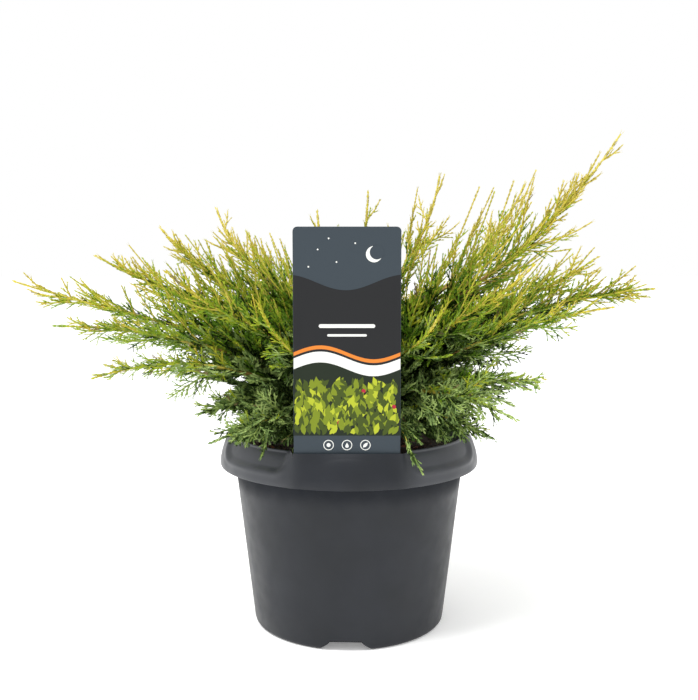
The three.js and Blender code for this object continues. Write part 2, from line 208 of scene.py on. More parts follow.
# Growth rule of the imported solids, in millimetres and degrees, written again for the finer twigs
trunkForm = {
    "foot": 129, "top": 205, "lean": (3, 2), "upright": (22, 20), "gap": 0.3,
    "flareRadius": 11, "stemRadius": 6.4, "tipRadius": 4.2, "flareFall": 9,
}
plumeForm = {"boughRadius": 2.7, "whipRadius": 0.6, "thinning": 0.62, "pull": 0.36, "seed": 11}
sprayForm = {
    "pastBough": 6, "pastTrunk": 26, "spacing": 24, "offset": 0.2, "share": 0.62, "longest": 84,
    "shortest": 18, "uneven": (0.75, 1.15), "angle": 36, "angleSpread": 12, "turn": 2.4, "turnSpread": 0.8,
    "lift": 0.32, "follow": 0.35, "core": 1.6, "checked": 3, "shorter": 0.8, "giveUp": 0.7,
}
roomForm = {
    "edgeRadius": 85.51, "rimInside": 6, "lipRadius": 95, "potHeight": 141, "soilTop": 131.2, "twigRoom": 1.2,
    "labelFace": 85.5, "labelBehind": 3, "labelBeside": 2, "labelHalf": 34.75, "labelMiddle": -1.3,
}
plumeKeys = ("name", "azimuth", "reach", "tip", "start", "leave", "arrive", "bare")
plumeRows = [
    ("right_tall", -9, 190, 353, 186, 34, 58, 0.24),
    ("right_wide", 3, 229, 245, 162, 33, 4, 0.24),
    ("right_inner", 23, 222, 268, 168, 36, 30, 0.24),
    ("right_low", -22, 186, 235, 157, 31, 10, 0.26),
    ("right_skirt", -34, 150, 188, 146, 34, 2, 0.3),
    ("right_fan", -51, 160, 170, 152, 30, -16, 0.28),
    ("right_rim", -46, 134, 152, 139, 42, -18, 0),
    ("right_middle", -40, 150, 262, 174, 42, 44, 0.26),
    ("front_right", -63, 126, 236, 169, 44, 52, 0.3),
    ("front_right_rim", -66, 101, 137, 161, 30, -62, 0),
    ("front_middle", -92, 62, 262, 184, 52, 78, 0),
    ("front_left", -115, 130, 240, 160, 44, 54, 0.3),
    ("left_rim", -125, 146, 155, 137, 42, -8, 0),
    ("left_middle", -139, 150, 258, 173, 42, 40, 0.26),
    ("left_hang", -141, 125, 166, 142, 36, -14, 0.3),
    ("left_skirt", -154, 184, 190, 149, 31, -16, 0.26),
    ("left_low", -164, 205, 222, 157, 30, 2, 0.26),
    ("left_wide", 179, 245, 250, 166, 31, 18, 0.24),
    ("left_upper", 164, 208, 269, 177, 35, 26, 0.25),
    ("left_tall", 152, 174, 292, 183, 42, 44, 0.25),
    ("back_left_tall", 130, 180, 310, 190, 46, 58, 0.25),
    ("back_left_crest", 103, 120, 306, 197, 58, 68, 0.2),
    ("back_crest", 76, 62, 318, 205, 66, 80, 0),
    ("back_right_crest", 57, 142, 338, 191, 54, 72, 0.22),
    ("back_right_tall", 38, 190, 331, 179, 42, 60, 0.24),
    ("back_right_skirt", 43, 168, 196, 147, 34, -6, 0.28),
    ("back_right_low", 68, 184, 232, 160, 36, 12, 0.26),
    ("back_low", 96, 176, 205, 150, 36, -4, 0.28),
    ("back_left_low", 117, 188, 240, 167, 36, 18, 0.26),
    ("back_left_skirt", 141, 172, 192, 146, 34, -8, 0.28),
]
plumes = [dict(zip(plumeKeys, row)) for row in plumeRows]


def lerp(a, b, t):
    return a + (b - a) * t


def smoothStep(value, low, high):
    t = np.clip((value - low) / (high - low), 0, 1)
    return t * t * (3 - 2 * t)


def unit(v):
    return v / np.maximum(np.linalg.norm(v, axis=-1, keepdims=True), 1e-9)


def chance(plume, shoot, use):
    wave = math.sin((plume + plumeForm["seed"]) * 12.9898 + shoot * 78.233 + use * 37.719) * 43758.5453
    return wave - math.floor(wave)


def cubicCurve(a, b, c, d, steps=200):
    t = np.linspace(0, 1, steps + 1)[:, None]
    points = (1 - t) ** 3 * a + 3 * (1 - t) ** 2 * t * b + 3 * (1 - t) * t**2 * c + t**3 * d
    run = np.concatenate([[0], np.cumsum(np.linalg.norm(np.diff(points, axis=0), axis=1))])
    return {"points": points, "run": run, "length": run[-1]}


def pointAt(curve, share):
    at = np.asarray(share, float) * curve["length"]
    return np.stack([np.interp(at, curve["run"], curve["points"][:, axis]) for axis in range(3)], axis=-1)


def alongAt(curve, share, nearby=0.004):
    share = np.asarray(share, float)
    ahead, behind = np.minimum(share + nearby, 1), np.maximum(share - nearby, 0)
    return unit(pointAt(curve, ahead) - pointAt(curve, behind))


def trunkCurve():
    x, y = trunkForm["lean"]
    foot, top = trunkForm["foot"], trunkForm["top"]
    low, high = trunkForm["upright"]
    ends = [(0, 0, foot + trunkForm["gap"]), (0, 0, foot + low), (x, y, top - high), (x, y, top)]
    return cubicCurve(*(np.array(p, float) for p in ends))


def trunkShare(height):
    return np.clip((height - trunkForm["foot"]) / (trunkForm["top"] - trunkForm["foot"]), 0, 1)


def trunkRadius(share):
    flare = (trunkForm["flareRadius"] - trunkForm["stemRadius"]) * np.exp(-share * trunkForm["flareFall"])
    return lerp(trunkForm["stemRadius"], trunkForm["tipRadius"], share) + flare


def plumeCurve(plume):
    turn = math.radians(plume["azimuth"])
    flat = np.array([math.cos(turn), math.sin(turn), 0])
    slopes = [math.radians(plume[key]) for key in ("leave", "arrive")]
    leave, arrive = (flat * math.cos(slope) + up * math.sin(slope) for slope in slopes)
    start = pointAt(trunk, trunkShare(plume["start"]))
    end = flat * plume["reach"] + up * plume["tip"]
    pull = np.linalg.norm(end - start) * plumeForm["pull"]
    return cubicCurve(start, start + leave * pull, end - arrive * pull, end)


def stemRadius(share):
    return lerp(plumeForm["boughRadius"], plumeForm["whipRadius"], np.power(share, plumeForm["thinning"]))


trunk = trunkCurve()
curves = [plumeCurve(plume) for plume in plumes]
lineShares = np.linspace(0, 1, 41)
linePoints = np.array([pointAt(curve, lineShares) for curve in curves])
lineRadii = stemRadius(lineShares[:-1])


def distanceToPlumes(points):
    foot = linePoints[None, :, :-1]
    step = linePoints[None, :, 1:] - foot
    away = points[:, None, None] - foot
    t = np.clip((away * step).sum(-1) / (step * step).sum(-1), 0, 1)[..., None]
    return (np.linalg.norm(away - step * t, axis=-1) - lineRadii).min(axis=2)


def clearOfPot(points, radius):
    form = roomForm
    room = radius + form["twigRoom"]
    x, y, z = points[..., 0], points[..., 1], points[..., 2]
    out = np.hypot(x, y)
    rimFrom = form["edgeRadius"] - form["rimInside"] - room
    onRim = (out > rimFrom) & (out < form["lipRadius"] + room) & (z < form["potHeight"] + room)
    inSoil = (out <= rimFrom) & (z < form["soilTop"] + room)
    beforeLabel = -y > form["labelFace"] - form["labelBehind"] - room
    besideLabel = np.abs(x - form["labelMiddle"]) < form["labelHalf"] + form["labelBeside"] + room
    return ~(onRim | inSoil | (beforeLabel & besideLabel))


def clearOfTrunk(points, radius):
    share = trunkShare(points[..., 2])
    away = np.linalg.norm(points - pointAt(trunk, share), axis=-1)
    return away > trunkRadius(share) + radius + 2 * trunkForm["gap"]


def inOwnSpace(points, index, radius):
    if not (clearOfPot(points, radius) & clearOfTrunk(points, radius)).all():
        return False
    distance = distanceToPlumes(points)
    own = distance[:, index].copy()
    distance[:, index] = np.inf
    return bool((distance.min(axis=1) - own > 2 * (radius + trunkForm["gap"])).all())


def bendShoots(start, along, side, angle, length, follow, lift):
    # a shoot leaves its parent at an angle, and bends forwards and up to the light
    first = unit(along * np.cos(angle)[:, None] + side * np.sin(angle)[:, None])
    last = unit(lerp(first, along, follow) + up * lift)
    middle = start + first * length[:, None] / 2
    end = middle + last * length[:, None] / 2
    return {"start": start, "middle": middle, "end": end, "length": length, "along": along, "first": first}


def shootPoints(shoots, share):
    # points at the shares of each shoot: (shoots, shares, 3)
    t = np.asarray(share, float)[None, :, None]
    a, b, c = (shoots[key][:, None] for key in ("start", "middle", "end"))
    return (1 - t) ** 2 * a + 2 * t * (1 - t) * b + t**2 * c


def pick(shoots, keep):
    return {key: value[keep] for key, value in shoots.items()}


def turnedSides(along, roll):
    # the level side of each stem, turned round it; an upright stem has no level side of its own
    side = np.cross(along, up)
    side[np.linalg.norm(side, axis=-1) < 0.03] = (1, 0, 0)
    side = unit(side)
    return side * np.cos(roll)[:, None] + np.cross(along, side) * np.sin(roll)[:, None]


# Finer twigs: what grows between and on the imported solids' own sprays
shootForm = {
    # pairs for the high masses and for the low ones, which have more shoots that also hang over the rim
    "lowTip": 206, "free": (24, 7), "foot": (0.26, 0.08), "spacing": (4.0, 2.2), "under": (0.5, 0.9),
    "shortest": (20, 12), "longest": (90, 46), "lift": ((0.2, 1.4), (-0.9, 1.1)), "liftFall": 0.75,
    # lengths from the weak shoots to the strong ones, and angles from a plume's foot to its tip
    "share": 0.52, "uneven": (0.5, 1.55), "angles": (56, 36), "narrower": 0.6, "angleSpread": 12,
    "turnSpread": 0.6, "follow": 0.3,
    # the room that a shoot needs, and how much shorter it is tried again where there is none
    "radius": 1.2, "trunkRoom": 1, "pastTrunk": 12, "tries": 5, "trialShare": 0.72,
    # how far the shoots may rise past a level plume and past a steep one
    "above": (5, -26), "steep": (25, 58),
    # no shoots hang below a height that rises from the first radius out to the second
    "underRadius": (100, 146), "underHeight": (120, 182),
    # plumes whose shoots rise higher or less high than the rest's
    "higher": {"left_tall": 9, "back_left_tall": 9, "left_upper": -4, "right_wide": 13, "right_inner": 10},
    # plumes whose outer half has fewer and longer shoots
    "sparse": {
        "left_wide": 1.9, "left_low": 1.8, "left_upper": 1.3, "left_skirt": 1.5, "left_tall": 1.2,
        "right_wide": 1.6, "right_inner": 1.5, "back_left_low": 1.5, "back_right_low": 1.5,
        "back_right_tall": 1.2,
    },
    # plumes with more or fewer shoots than the rest
    "fuller": {
        "right_tall": 1.2, "right_wide": 2.15, "right_inner": 1.9, "right_rim": 1.3, "front_right_rim": 1.5,
        "left_tall": 1.8, "left_upper": 2.0, "left_wide": 1.1, "left_low": 0.95, "left_skirt": 0.6,
        "left_hang": 1.35, "left_rim": 1.8, "back_left_tall": 1.7, "back_low": 1.1,
        "back_right_crest": 0.62, "back_right_tall": 0.68,
    },
}
# the pairs of free length and angle go from the low twigs to the high ones
stemTwigForm = {
    "spacing": 4.2, "share": 0.3, "free": (8, 24), "least": 2.4, "most": 15, "uneven": (0.7, 1.2),
    "angles": (38, 20), "angleSpread": 6, "turnSpread": 0.5, "follow": 0.3, "lift": 0.12,
    "bareShare": 0.8, "pastTrunk": 22,
}
# A spray is a flat frond: its branchlets and their twiglets lie near one plane. Pairs of values are for the
# low fronds, which are wide and full, and the high ones, which are narrow with long free tips.
branchletForm = {
    "spacing": (2.8, 3.8), "foot": 0.05, "last": (0.96, 0.7), "shares": (0.42, 0.25), "least": (2.6, 2.3),
    "most": (17, 10), "uneven": (0.7, 1.15), "angles": (43, 33), "angleSpread": 4, "planeSpread": 30,
    "follow": 0.25, "lift": 0.05,
}
twigletForm = {
    "spacing": (2.5, 4.2), "foot": 0.12, "last": (0.84, 0.75), "shares": (0.45, 0.36), "least": (2.0, 1.6),
    "most": (7, 5), "uneven": (0.75, 1.2), "angles": (42, 32), "angleSpread": 5, "planeSpread": 6,
    "follow": 0.2, "lift": 0.02,
}
# between these heights the fronds go from low to high ones
narrowing = (185, 275)
# the room that a twig needs, how far it leans out of its frond, and how far twigs may pass the solids' box
twigRadius = 0.6
offPlane = 6
boxPast = 2
boxLow = np.array(cadBox[0]) / millimetre - boxPast
boxHigh = np.array(cadBox[1]) / millimetre + boxPast


def inCrown(points, radius):
    inside = (points > boxLow).all(axis=-1) & (points < boxHigh).all(axis=-1)
    return (inside & clearOfPot(points, radius)).all(axis=1)


def solidSprays(index):
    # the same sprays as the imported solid's
    plume, curve, form = plumes[index], curves[index], sprayForm
    length, bare = curve["length"], plume["bare"]
    first = bare + trunkForm["gap"] / length if bare else 0
    leafy = first + (form["pastBough"] if bare else form["pastTrunk"]) / length
    count = int(length * (1 - leafy) / form["spacing"])
    found = []
    for k in range(count):
        share = lerp(leafy, 1, (k + form["offset"]) / count)
        wanted = min(max(length * (1 - share) * form["share"], form["shortest"]), form["longest"])
        wanted *= lerp(*form["uneven"], chance(index, k, 1))
        roll = k * form["turn"] + (chance(index, k, 2) - 0.5) * form["turnSpread"]
        angle = np.radians([form["angle"] + (chance(index, k, 3) - 0.5) * form["angleSpread"]])
        start, along = pointAt(curve, [share]), alongAt(curve, [share])
        side = turnedSides(along, np.array([roll]))
        while wanted >= form["shortest"] * form["giveUp"]:
            shoot = bendShoots(start, along, side, angle, np.array([wanted]), form["follow"], form["lift"])
            steps = max(4, math.ceil(wanted / form["checked"]))
            points = shootPoints(shoot, np.linspace(0, 1, steps + 1)[1:])[0]
            if inOwnSpace(points, index, form["core"]):
                found.append({**shoot, "share": np.array([share])})
                break
            wanted *= form["shorter"]
    return found


def finerShoots(index, random):
    # more shoots between them, which cross the neighbours' and rise unevenly to the light
    plume, curve, form = plumes[index], curves[index], shootForm
    name, length = plume["name"], curve["length"]
    low = int(plume["tip"] < form["lowTip"])
    foot = max(plume["bare"] * form["foot"][low], form["pastTrunk"] / length)
    last = 1 - form["free"][low] / length
    ceiling = curve["points"][:, 2].max() + form["higher"].get(name, 0)
    ceiling += lerp(*form["above"], smoothStep(plume["arrive"], *form["steep"]))
    count = int(length * (last - foot) / form["spacing"][low] * form["fuller"].get(name, 1))
    sparse = form["sparse"].get(name, 1)
    share = lerp(foot, last, ((np.arange(count) + random.uniform(0, 1, count)) / count) ** sparse)
    size = np.clip(length * (1 - share) * form["share"], form["shortest"][low] * sparse, form["longest"][low])
    # most are short, and a few run on nearly beside the plume's own tip
    strong = random.uniform(0, 1, count) ** 2
    size *= lerp(*form["uneven"], strong)
    along = alongAt(curve, share)
    roll = np.arange(count) * sprayForm["turn"] + random.normal(0, form["turnSpread"], count)
    side = turnedSides(along, roll)
    size *= lerp(form["under"][low], 1, smoothStep(side[:, 2], -1, 0))
    angle = lerp(*form["angles"], share) * lerp(1, form["narrower"], strong)
    angle = np.radians(angle + random.normal(0, form["angleSpread"], count))
    lift = random.uniform(*form["lift"][low], (count, 1)) * (1 - form["liftFall"] * share[:, None])
    found = []
    for _ in range(form["tries"]):
        shoots = bendShoots(pointAt(curve, share), along, side, angle, size, form["follow"], lift)
        shoots["share"] = share
        points = shootPoints(shoots, np.linspace(0.1, 1, 8))
        out, height = np.hypot(points[..., 0], points[..., 1]), points[..., 2]
        underside = np.interp(out, form["underRadius"], form["underHeight"])
        good = (height < ceiling) & (height > underside) & clearOfTrunk(points, form["trunkRoom"])
        good = inCrown(points, form["radius"]) & good.all(axis=1)
        found.append(pick(shoots, good))
        share, size, along, side, angle, lift = (v[~good] for v in (share, size, along, side, angle, lift))
        size = size * form["trialShare"]
    return found


def sideShoots(index, random):
    found = solidSprays(index) + finerShoots(index, random)
    return {key: np.concatenate([shoot[key] for shoot in found]) for key in found[0]}


def stemTwigs(index, random):
    # short twigs straight on a plume's own stem, up to its whip
    plume, curve, form = plumes[index], curves[index], stemTwigForm
    length = curve["length"]
    leafy = plume["bare"] * form["bareShare"] if plume["bare"] else form["pastTrunk"] / length
    count = int(length * (1 - leafy) / form["spacing"])
    high = smoothStep(plume["tip"], *narrowing)
    last = 1 - lerp(*form["free"], high) / length
    share = lerp(leafy, last, (np.arange(count) + random.uniform(0, 1, count)) / count)
    past = length * (last - share)
    size = np.minimum(past * form["share"] + form["least"], form["most"])
    size *= random.uniform(*form["uneven"], count)
    along = alongAt(curve, share)
    roll = np.arange(count) * sprayForm["turn"] + random.normal(0, form["turnSpread"], count)
    side = turnedSides(along, roll)
    angle = np.radians(random.normal(lerp(*form["angles"], high), form["angleSpread"], count))
    twigs = bendShoots(pointAt(curve, share), along, side, angle, size, form["follow"], form["lift"])
    twigs["share"] = share
    return pick(twigs, inCrown(shootPoints(twigs, [0.5, 1]), twigRadius))


def sideTwigs(parents, form, random):
    # alternate twigs along both edges of each parent shoot
    high = smoothStep(parents["end"][:, 2], *narrowing)
    last = lerp(*form["last"], high)
    counts = (parents["length"] * (last - form["foot"]) / lerp(*form["spacing"], high)).astype(int)
    owner = np.repeat(np.arange(len(counts)), counts)
    number = np.arange(len(owner)) - np.repeat(np.cumsum(counts) - counts, counts)
    total = len(owner)
    spread = random.uniform(0.15, 0.85, total)
    share = lerp(form["foot"], last[owner], (number + spread) / counts[owner])
    a, b, c = (parents[key][owner] for key in ("start", "middle", "end"))
    t = share[:, None]
    start = (1 - t) ** 2 * a + 2 * t * (1 - t) * b + t**2 * c
    along = unit(2 * (1 - t) * (b - a) + 2 * t * (c - b))
    flat = unit(np.cross(parents["along"][owner], parents["first"][owner]))
    through = unit(np.cross(along, flat))
    wide = np.cross(through, along)
    hand = np.where(number % 2 == 0, 1, -1)
    tilt = random.normal(0, form["planeSpread"], len(counts))[owner]
    roll = np.radians(tilt + random.normal(0, offPlane, total))
    side = (through * np.cos(roll)[:, None] + wide * np.sin(roll)[:, None]) * hand[:, None]
    rest = parents["length"][owner] * (1 - share)
    high = high[owner]
    length = rest * lerp(*form["shares"], high) + lerp(*form["least"], high)
    length = np.minimum(length, lerp(*form["most"], high))
    length *= random.uniform(*form["uneven"], total)
    angle = np.radians(lerp(*form["angles"], high) + random.normal(0, form["angleSpread"], total))
    twigs = bendShoots(start, along, side, angle, length, form["follow"], form["lift"])
    twigs["owner"] = owner
    twigs["share"] = share
    return pick(twigs, inCrown(shootPoints(twigs, [0.5, 1]), twigRadius))


# Tints of the scale leaves, dealt out by spray: darker green low, painted shade inside the crown and under
# the sprays, gold at the top and the tips.
# Living conifer scale leaves: smooth waxy cuticle that gives a soft, low sheen.
leafTints = {
    "leaf_shade_green": "#1b2b06",
    "leaf_deep_green": "#31490e",
    "leaf_mid_green": "#5f8322",
    "leaf_fresh_green": "#86a02a",
    "leaf_lime": "#9fae30",
    "leaf_yellow_green": "#b0b136",
    "leaf_gold": "#c1b33c",
    "leaf_pale_gold": "#cabd5c",
    "leaf_cool_shade": "#35491c",
    "leaf_cool_green": "#7b9455",
    "leaf_cool_fresh": "#a2b76c",
    "leaf_bronze": "#8c8058",
}
leafFinish = {"roughness": 0.58, "specular": 0.14}
leafMaterials = [newMaterial(name, colour, **leafFinish)[0] for name, colour in leafTints.items()]
bronze = len(leafTints) - 1
tintForm = {
    # the first tints are warm, and the cool ones stand in for the darkest of them low in the crown
    "warm": 8, "cool": 3, "coolBelow": 0.3, "coolSpread": 0.1, "bronze": 0.012, "shades": (0.3, 0.45, 0.25),
    "low": 150, "high": 320, "highPower": 0.75, "reach": (230, 128, 190),
    # outer and upward shoots are painted lighter and the feet of the sprays darker, as painted light and
    # shade, on top of the gold of the high shoots and the tips
    "base": 0.035, "shade": 0.2, "gold": 0.46, "sunny": 0.06, "tip": 0.24, "tipFrom": (165, 215),
    "rise": 0.12, "spread": 0.115, "inside": 0.28, "lit": 0.5,
    # plumes whose outer half is more golden or greener than their height gives
    "golder": {
        "left_skirt": 0.16, "left_low": 0.05, "right_wide": -0.13, "right_inner": -0.13, "right_tall": -0.03,
    },
}


def howFarOut(points):
    # 0 in the crown's middle, about 1 at its outside
    return np.linalg.norm((points - (0, 0, tintForm["low"])) / tintForm["reach"], axis=-1)


def dealTints(name, points, plumeShare, alongSpray, rise, random):
    # high shoots and the tips are golden, a little golder to the right and greener to the left; outer and
    # upward shoots are painted lighter and the feet and undersides of the sprays darker, as painted light and
    # shade
    form = tintForm
    high = np.clip((points[:, 2] - form["low"]) / (form["high"] - form["low"]), 0, 1)
    # outer shoots get lighter tints than inner ones, partly the high shoots' own gold and partly painted
    # light and shade
    gold = form["base"] + howFarOut(points) * (form["shade"] + form["gold"] * high ** form["highPower"])
    gold += form["sunny"] * high * points[:, 0] / form["reach"][0]
    # the tips' own gold, with painted light on upward shoots and painted shade on those hanging under
    gold += form["tip"] * plumeShare**2 * smoothStep(points[:, 2], *form["tipFrom"]) + form["rise"] * rise
    gold += form["golder"].get(name, 0) * plumeShare
    # painted shade on the feet of the sprays
    shaded = form["inside"] * (1 - smoothStep(alongSpray, 0, form["lit"]))
    gold += random.normal(0, form["spread"], len(gold)) - shaded
    tint = np.clip((gold * form["warm"]).astype(int), 0, form["warm"] - 1)
    cool = high + random.normal(0, form["coolSpread"], len(tint)) < form["coolBelow"]
    cool &= tint < form["cool"] + 1
    tint = np.where(cool, np.minimum(tint, form["cool"] - 1) + form["warm"], tint)
    return np.where(random.uniform(0, 1, len(tint)) < form["bronze"], bronze, tint)


def nearTints(tint, random):
    # a twiglet differs from its branchlet by a shade at most, and bronze stays bronze
    turn = random.choice([-1, 0, 1], len(tint), p=tintForm["shades"])
    warm = tint < tintForm["warm"]
    first, last = np.where(warm, 0, tintForm["warm"]), np.where(warm, tintForm["warm"], bronze) - 1
    return np.where(tint == bronze, tint, np.clip(tint + turn, first, last))


# Young stems: thin bark that goes from grey-brown through orange-tan to the colour of the leaves at the tip
stemTints = {
    "bark_brown": "#5f4430", "bark_tan": "#94743a", "shoot_gold": "#bfae44", "shoot_green": "#8da24a",
}
stemMaterials = [newMaterial(name, colour, roughness=0.7)[0] for name, colour in stemTints.items()]


def scaleLeafPair():
    # two opposite scale leaves round an axis of half thickness 1, each a folded kite of two faces
    kite = [(0.85, 0, -0.5), (0.9, -0.95, 1.7), (1.5, 0, 4.4), (0.9, 0.95, 1.7)]
    mesh = bpy.data.meshes.new("scale_leaf_pair")
    faces = [(0, 1, 2), (0, 2, 3), (4, 5, 6), (4, 6, 7)]
    mesh.from_pydata(kite + [(-x, -y, z) for x, y, z in kite], [], faces)
    return bpy.data.objects.new("scale_leaf_pair", mesh)


def tubesAlong(add, inputs):
    # closed tubes along the lines, as thick as their points say
    curve = add("GeometryNodeMeshToCurve", {"Mesh": inputs["Geometry"]})
    circle = {"Resolution": inputs["Sides"], "Radius": 1.0}
    ring = add("GeometryNodeCurvePrimitiveCircle", circle, mode="RADIUS")
    thick = add("GeometryNodeInputNamedAttribute", {"Name": "thickness"}, data_type="FLOAT")
    sizes = {"Profile Curve": ring, "Scale": thick, "Fill Caps": True}
    return curve, thick, add("GeometryNodeCurveToMesh", {"Curve": curve, **sizes})


def tintBy(add, geometry, labels, inputs):
    # ends a tree: the instances become mesh, and each tint number gets its material
    tint = add("GeometryNodeInputNamedAttribute", {"Name": "tint"}, data_type="INT")
    made = add("GeometryNodeRealizeInstances", {"Geometry": geometry})
    for number, label in enumerate(labels):
        same = add("FunctionNodeCompare", {2: tint, 3: number}, data_type="INT", operation="EQUAL")
        given = {"Geometry": made, "Selection": same, "Material": inputs[label]}
        made = add("GeometryNodeSetMaterial", given)
    add("NodeGroupOutput", {0: made})


def stemTree():
    labels = {name: ("Material", None) for name in stemTints}
    tree, add, inputs = newTree("Young stems along their lines", {"Sides": ("Int", 4), **labels})
    _, _, tube = tubesAlong(add, inputs)
    tintBy(add, tube, stemTints, inputs)
    return tree


def scaleLeafTree():
    sizes = {
        "Sides": ("Int", 3), "Leaf Spacing": ("Float", 0.0015), "Leaf Size": ("Float", 1.0),
        "Leaf Unevenness": ("Float", 0.25), "Seed": ("Int", 7), "Leaf Pair": ("Object", None),
    }
    labels = {name: ("Material", None) for name in leafTints}
    tree, add, inputs = newTree("Scale leaves along their twigs", {**sizes, **labels})
    curve, thick, tube = tubesAlong(add, inputs)
    spaced = {"Curve": curve, "Length": inputs["Leaf Spacing"]}
    points = add("GeometryNodeCurveToPoints", spaced, mode="LENGTH")
    # each pair stands crosswise to the pair below it, a little uneven in turn and size
    index = add("GeometryNodeInputIndex")
    quarter = add("ShaderNodeMath", {0: index, 1: math.pi / 2}, operation="MULTIPLY")
    ranges = [{2: low, 3: high, "Seed": inputs["Seed"]} for low, high in ((-0.3, 0.3), (0.0, 1.0))]
    uneven, growth = (add("FunctionNodeRandomValue", r, data_type="FLOAT").outputs[1] for r in ranges)
    angle = add("ShaderNodeMath", {0: quarter, 1: uneven}, operation="ADD")
    turn = add("FunctionNodeAxisAngleToRotation", {"Axis": (0, 0, 1), "Angle": angle})
    turned = {"Rotation": points.outputs["Rotation"], "Rotate By": turn}
    rotation = add("FunctionNodeRotateRotation", turned, rotation_space="LOCAL")
    grown = {0: growth, 1: inputs["Leaf Unevenness"], 2: 1.0}
    larger = add("ShaderNodeMath", grown, operation="MULTIPLY_ADD")
    sized = add("ShaderNodeMath", {0: larger, 1: inputs["Leaf Size"]}, operation="MULTIPLY")
    scale = add("ShaderNodeMath", {0: sized, 1: thick}, operation="MULTIPLY")
    pair = add("GeometryNodeObjectInfo", {"Object": inputs["Leaf Pair"]}).outputs["Geometry"]
    placed = {"Points": points, "Instance": pair, "Rotation": rotation, "Scale": scale}
    leaves = add("GeometryNodeInstanceOnPoints", placed)
    joined = add("GeometryNodeJoinGeometry", {0: tube})
    feed(joined, {0: leaves})
    tintBy(add, joined, leafTints, inputs)
    return tree


twigSizes = {
    # half thicknesses in mm from foot to tip; the low shoots are thinner
    "spray": (0.7, 0.42), "branchlet": (0.48, 0.38), "twiglet": (0.42, 0.33), "stem": (2.4, 0.25),
    "whip": (1.0, 0.62), "axis": 0.75, "low": 0.86,
    # the inner shoots, between these shares of the way out, are thicker
    "inner": (0.35, 0.8), "innerThick": 1.8,
    "spraySteps": 5, "branchletSteps": 2, "Leaf Spacing": 0.003, "Leaf Size": 1.15,
    # where along a spray's axis and a plume's whip the leaves' tint changes
    "axisCuts": (0.2, 0.6, 1), "whipCuts": (0.62, 0.99, 0.05), "whipPart": 0.055,
    # how far a plume's stem is brown, tan and golden, and how high a spray's axis is golden
    "barkCuts": (0.34, 0.5, 1), "goldAbove": 235,
    # how much a branchlet counts towards its plume's tip
    "tipward": 0.55,
}


def leafyThickness(key, steps, shoots):
    # the inner shoots, which hardly show, are thicker and close the crown
    along = lerp(*twigSizes[key], np.linspace(0, 1, steps) ** 0.8)
    inner = 1 - smoothStep(howFarOut(shoots["end"]), *twigSizes["inner"])
    low = 1 - smoothStep(shoots["end"][:, 2], *narrowing)
    return along * (lerp(1, twigSizes["innerThick"], inner) * lerp(1, twigSizes["low"], low))[:, None]


def leafyLines(index, sprays, random):
    # the branchlets, the twiglets, the sprays' axes and the whip, which all are clothed in leaves
    sizes, name, curve = twigSizes, plumes[index]["name"], curves[index]
    onStem = stemTwigs(index, random)
    branchlets = sideTwigs(sprays, branchletForm, random)
    owner = branchlets.pop("owner")
    sprayRise = sprays["first"][:, 2] - sprays["along"][:, 2]
    branchlets["rise"] = sprayRise[owner]
    branchlets["tintShare"] = lerp(sprays["share"][owner], 1, sizes["tipward"] * branchlets["share"])
    onStem["rise"] = onStem["first"][:, 2] - onStem["along"][:, 2]
    onStem["tintShare"] = onStem["share"]
    twigs = {key: np.concatenate([branchlets[key], onStem[key]]) for key in onStem}
    tint = dealTints(name, twigs["end"], twigs["tintShare"], twigs["share"], twigs["rise"], random)
    twiglets = sideTwigs(twigs, twigletForm, random)
    twigletTint = nearTints(tint[twiglets["owner"]], random)
    steps = sizes["branchletSteps"] + 1
    lines = [
        (shootPoints(twigs, np.linspace(0, 1, steps)), leafyThickness("branchlet", steps, twigs), tint),
        (shootPoints(twiglets, [0, 1]), leafyThickness("twiglet", 2, twiglets), twigletTint),
    ]
    thick, thin = sizes["spray"]
    for low, high in zip(sizes["axisCuts"], sizes["axisCuts"][1:]):
        share = np.linspace(low, high, 3)
        points = shootPoints(sprays, share)
        plumeShare = lerp(sprays["share"], 1, sizes["tipward"] * high)
        tint = dealTints(name, points[:, -1], plumeShare, high, sprayRise, random)
        thickness = lerp(thick * sizes["axis"], thin, share**0.7)
        lines.append((points, np.tile(thickness, (len(points), 1)), tint))
    for low in np.arange(*sizes["whipCuts"]):
        share = np.linspace(low, min(low + sizes["whipPart"], 1), 4)
        points = pointAt(curve, share)[None]
        tint = dealTints(name, points[:, -1], np.array([share[-1]]), 1, 0, random)
        lines.append((points, lerp(*sizes["whip"], share)[None], tint))
    return lines


def woodyLines(index, sprays):
    # the sprays' own axes, and the plume's stem from its bough or the trunk to its tip
    sizes, plume, curve = twigSizes, plumes[index], curves[index]
    share = np.linspace(0, 1, sizes["spraySteps"] + 1)
    sprayTint = np.where(sprays["end"][:, 2] > sizes["goldAbove"], 2, 3)
    thickness = np.tile(lerp(*sizes["spray"], share**0.8), (len(sprays["start"]), 1))
    lines = [(shootPoints(sprays, share), thickness, sprayTint)]
    cuts = (plume["bare"] or 0.02, *sizes["barkCuts"])
    for part, (low, high) in enumerate(zip(cuts, cuts[1:])):
        share = np.linspace(low, high, 12)
        thickness = np.minimum(stemRadius(share), lerp(*sizes["stem"], share))[None]
        lines.append((pointAt(curve, share)[None], thickness, np.array([part])))
    return lines


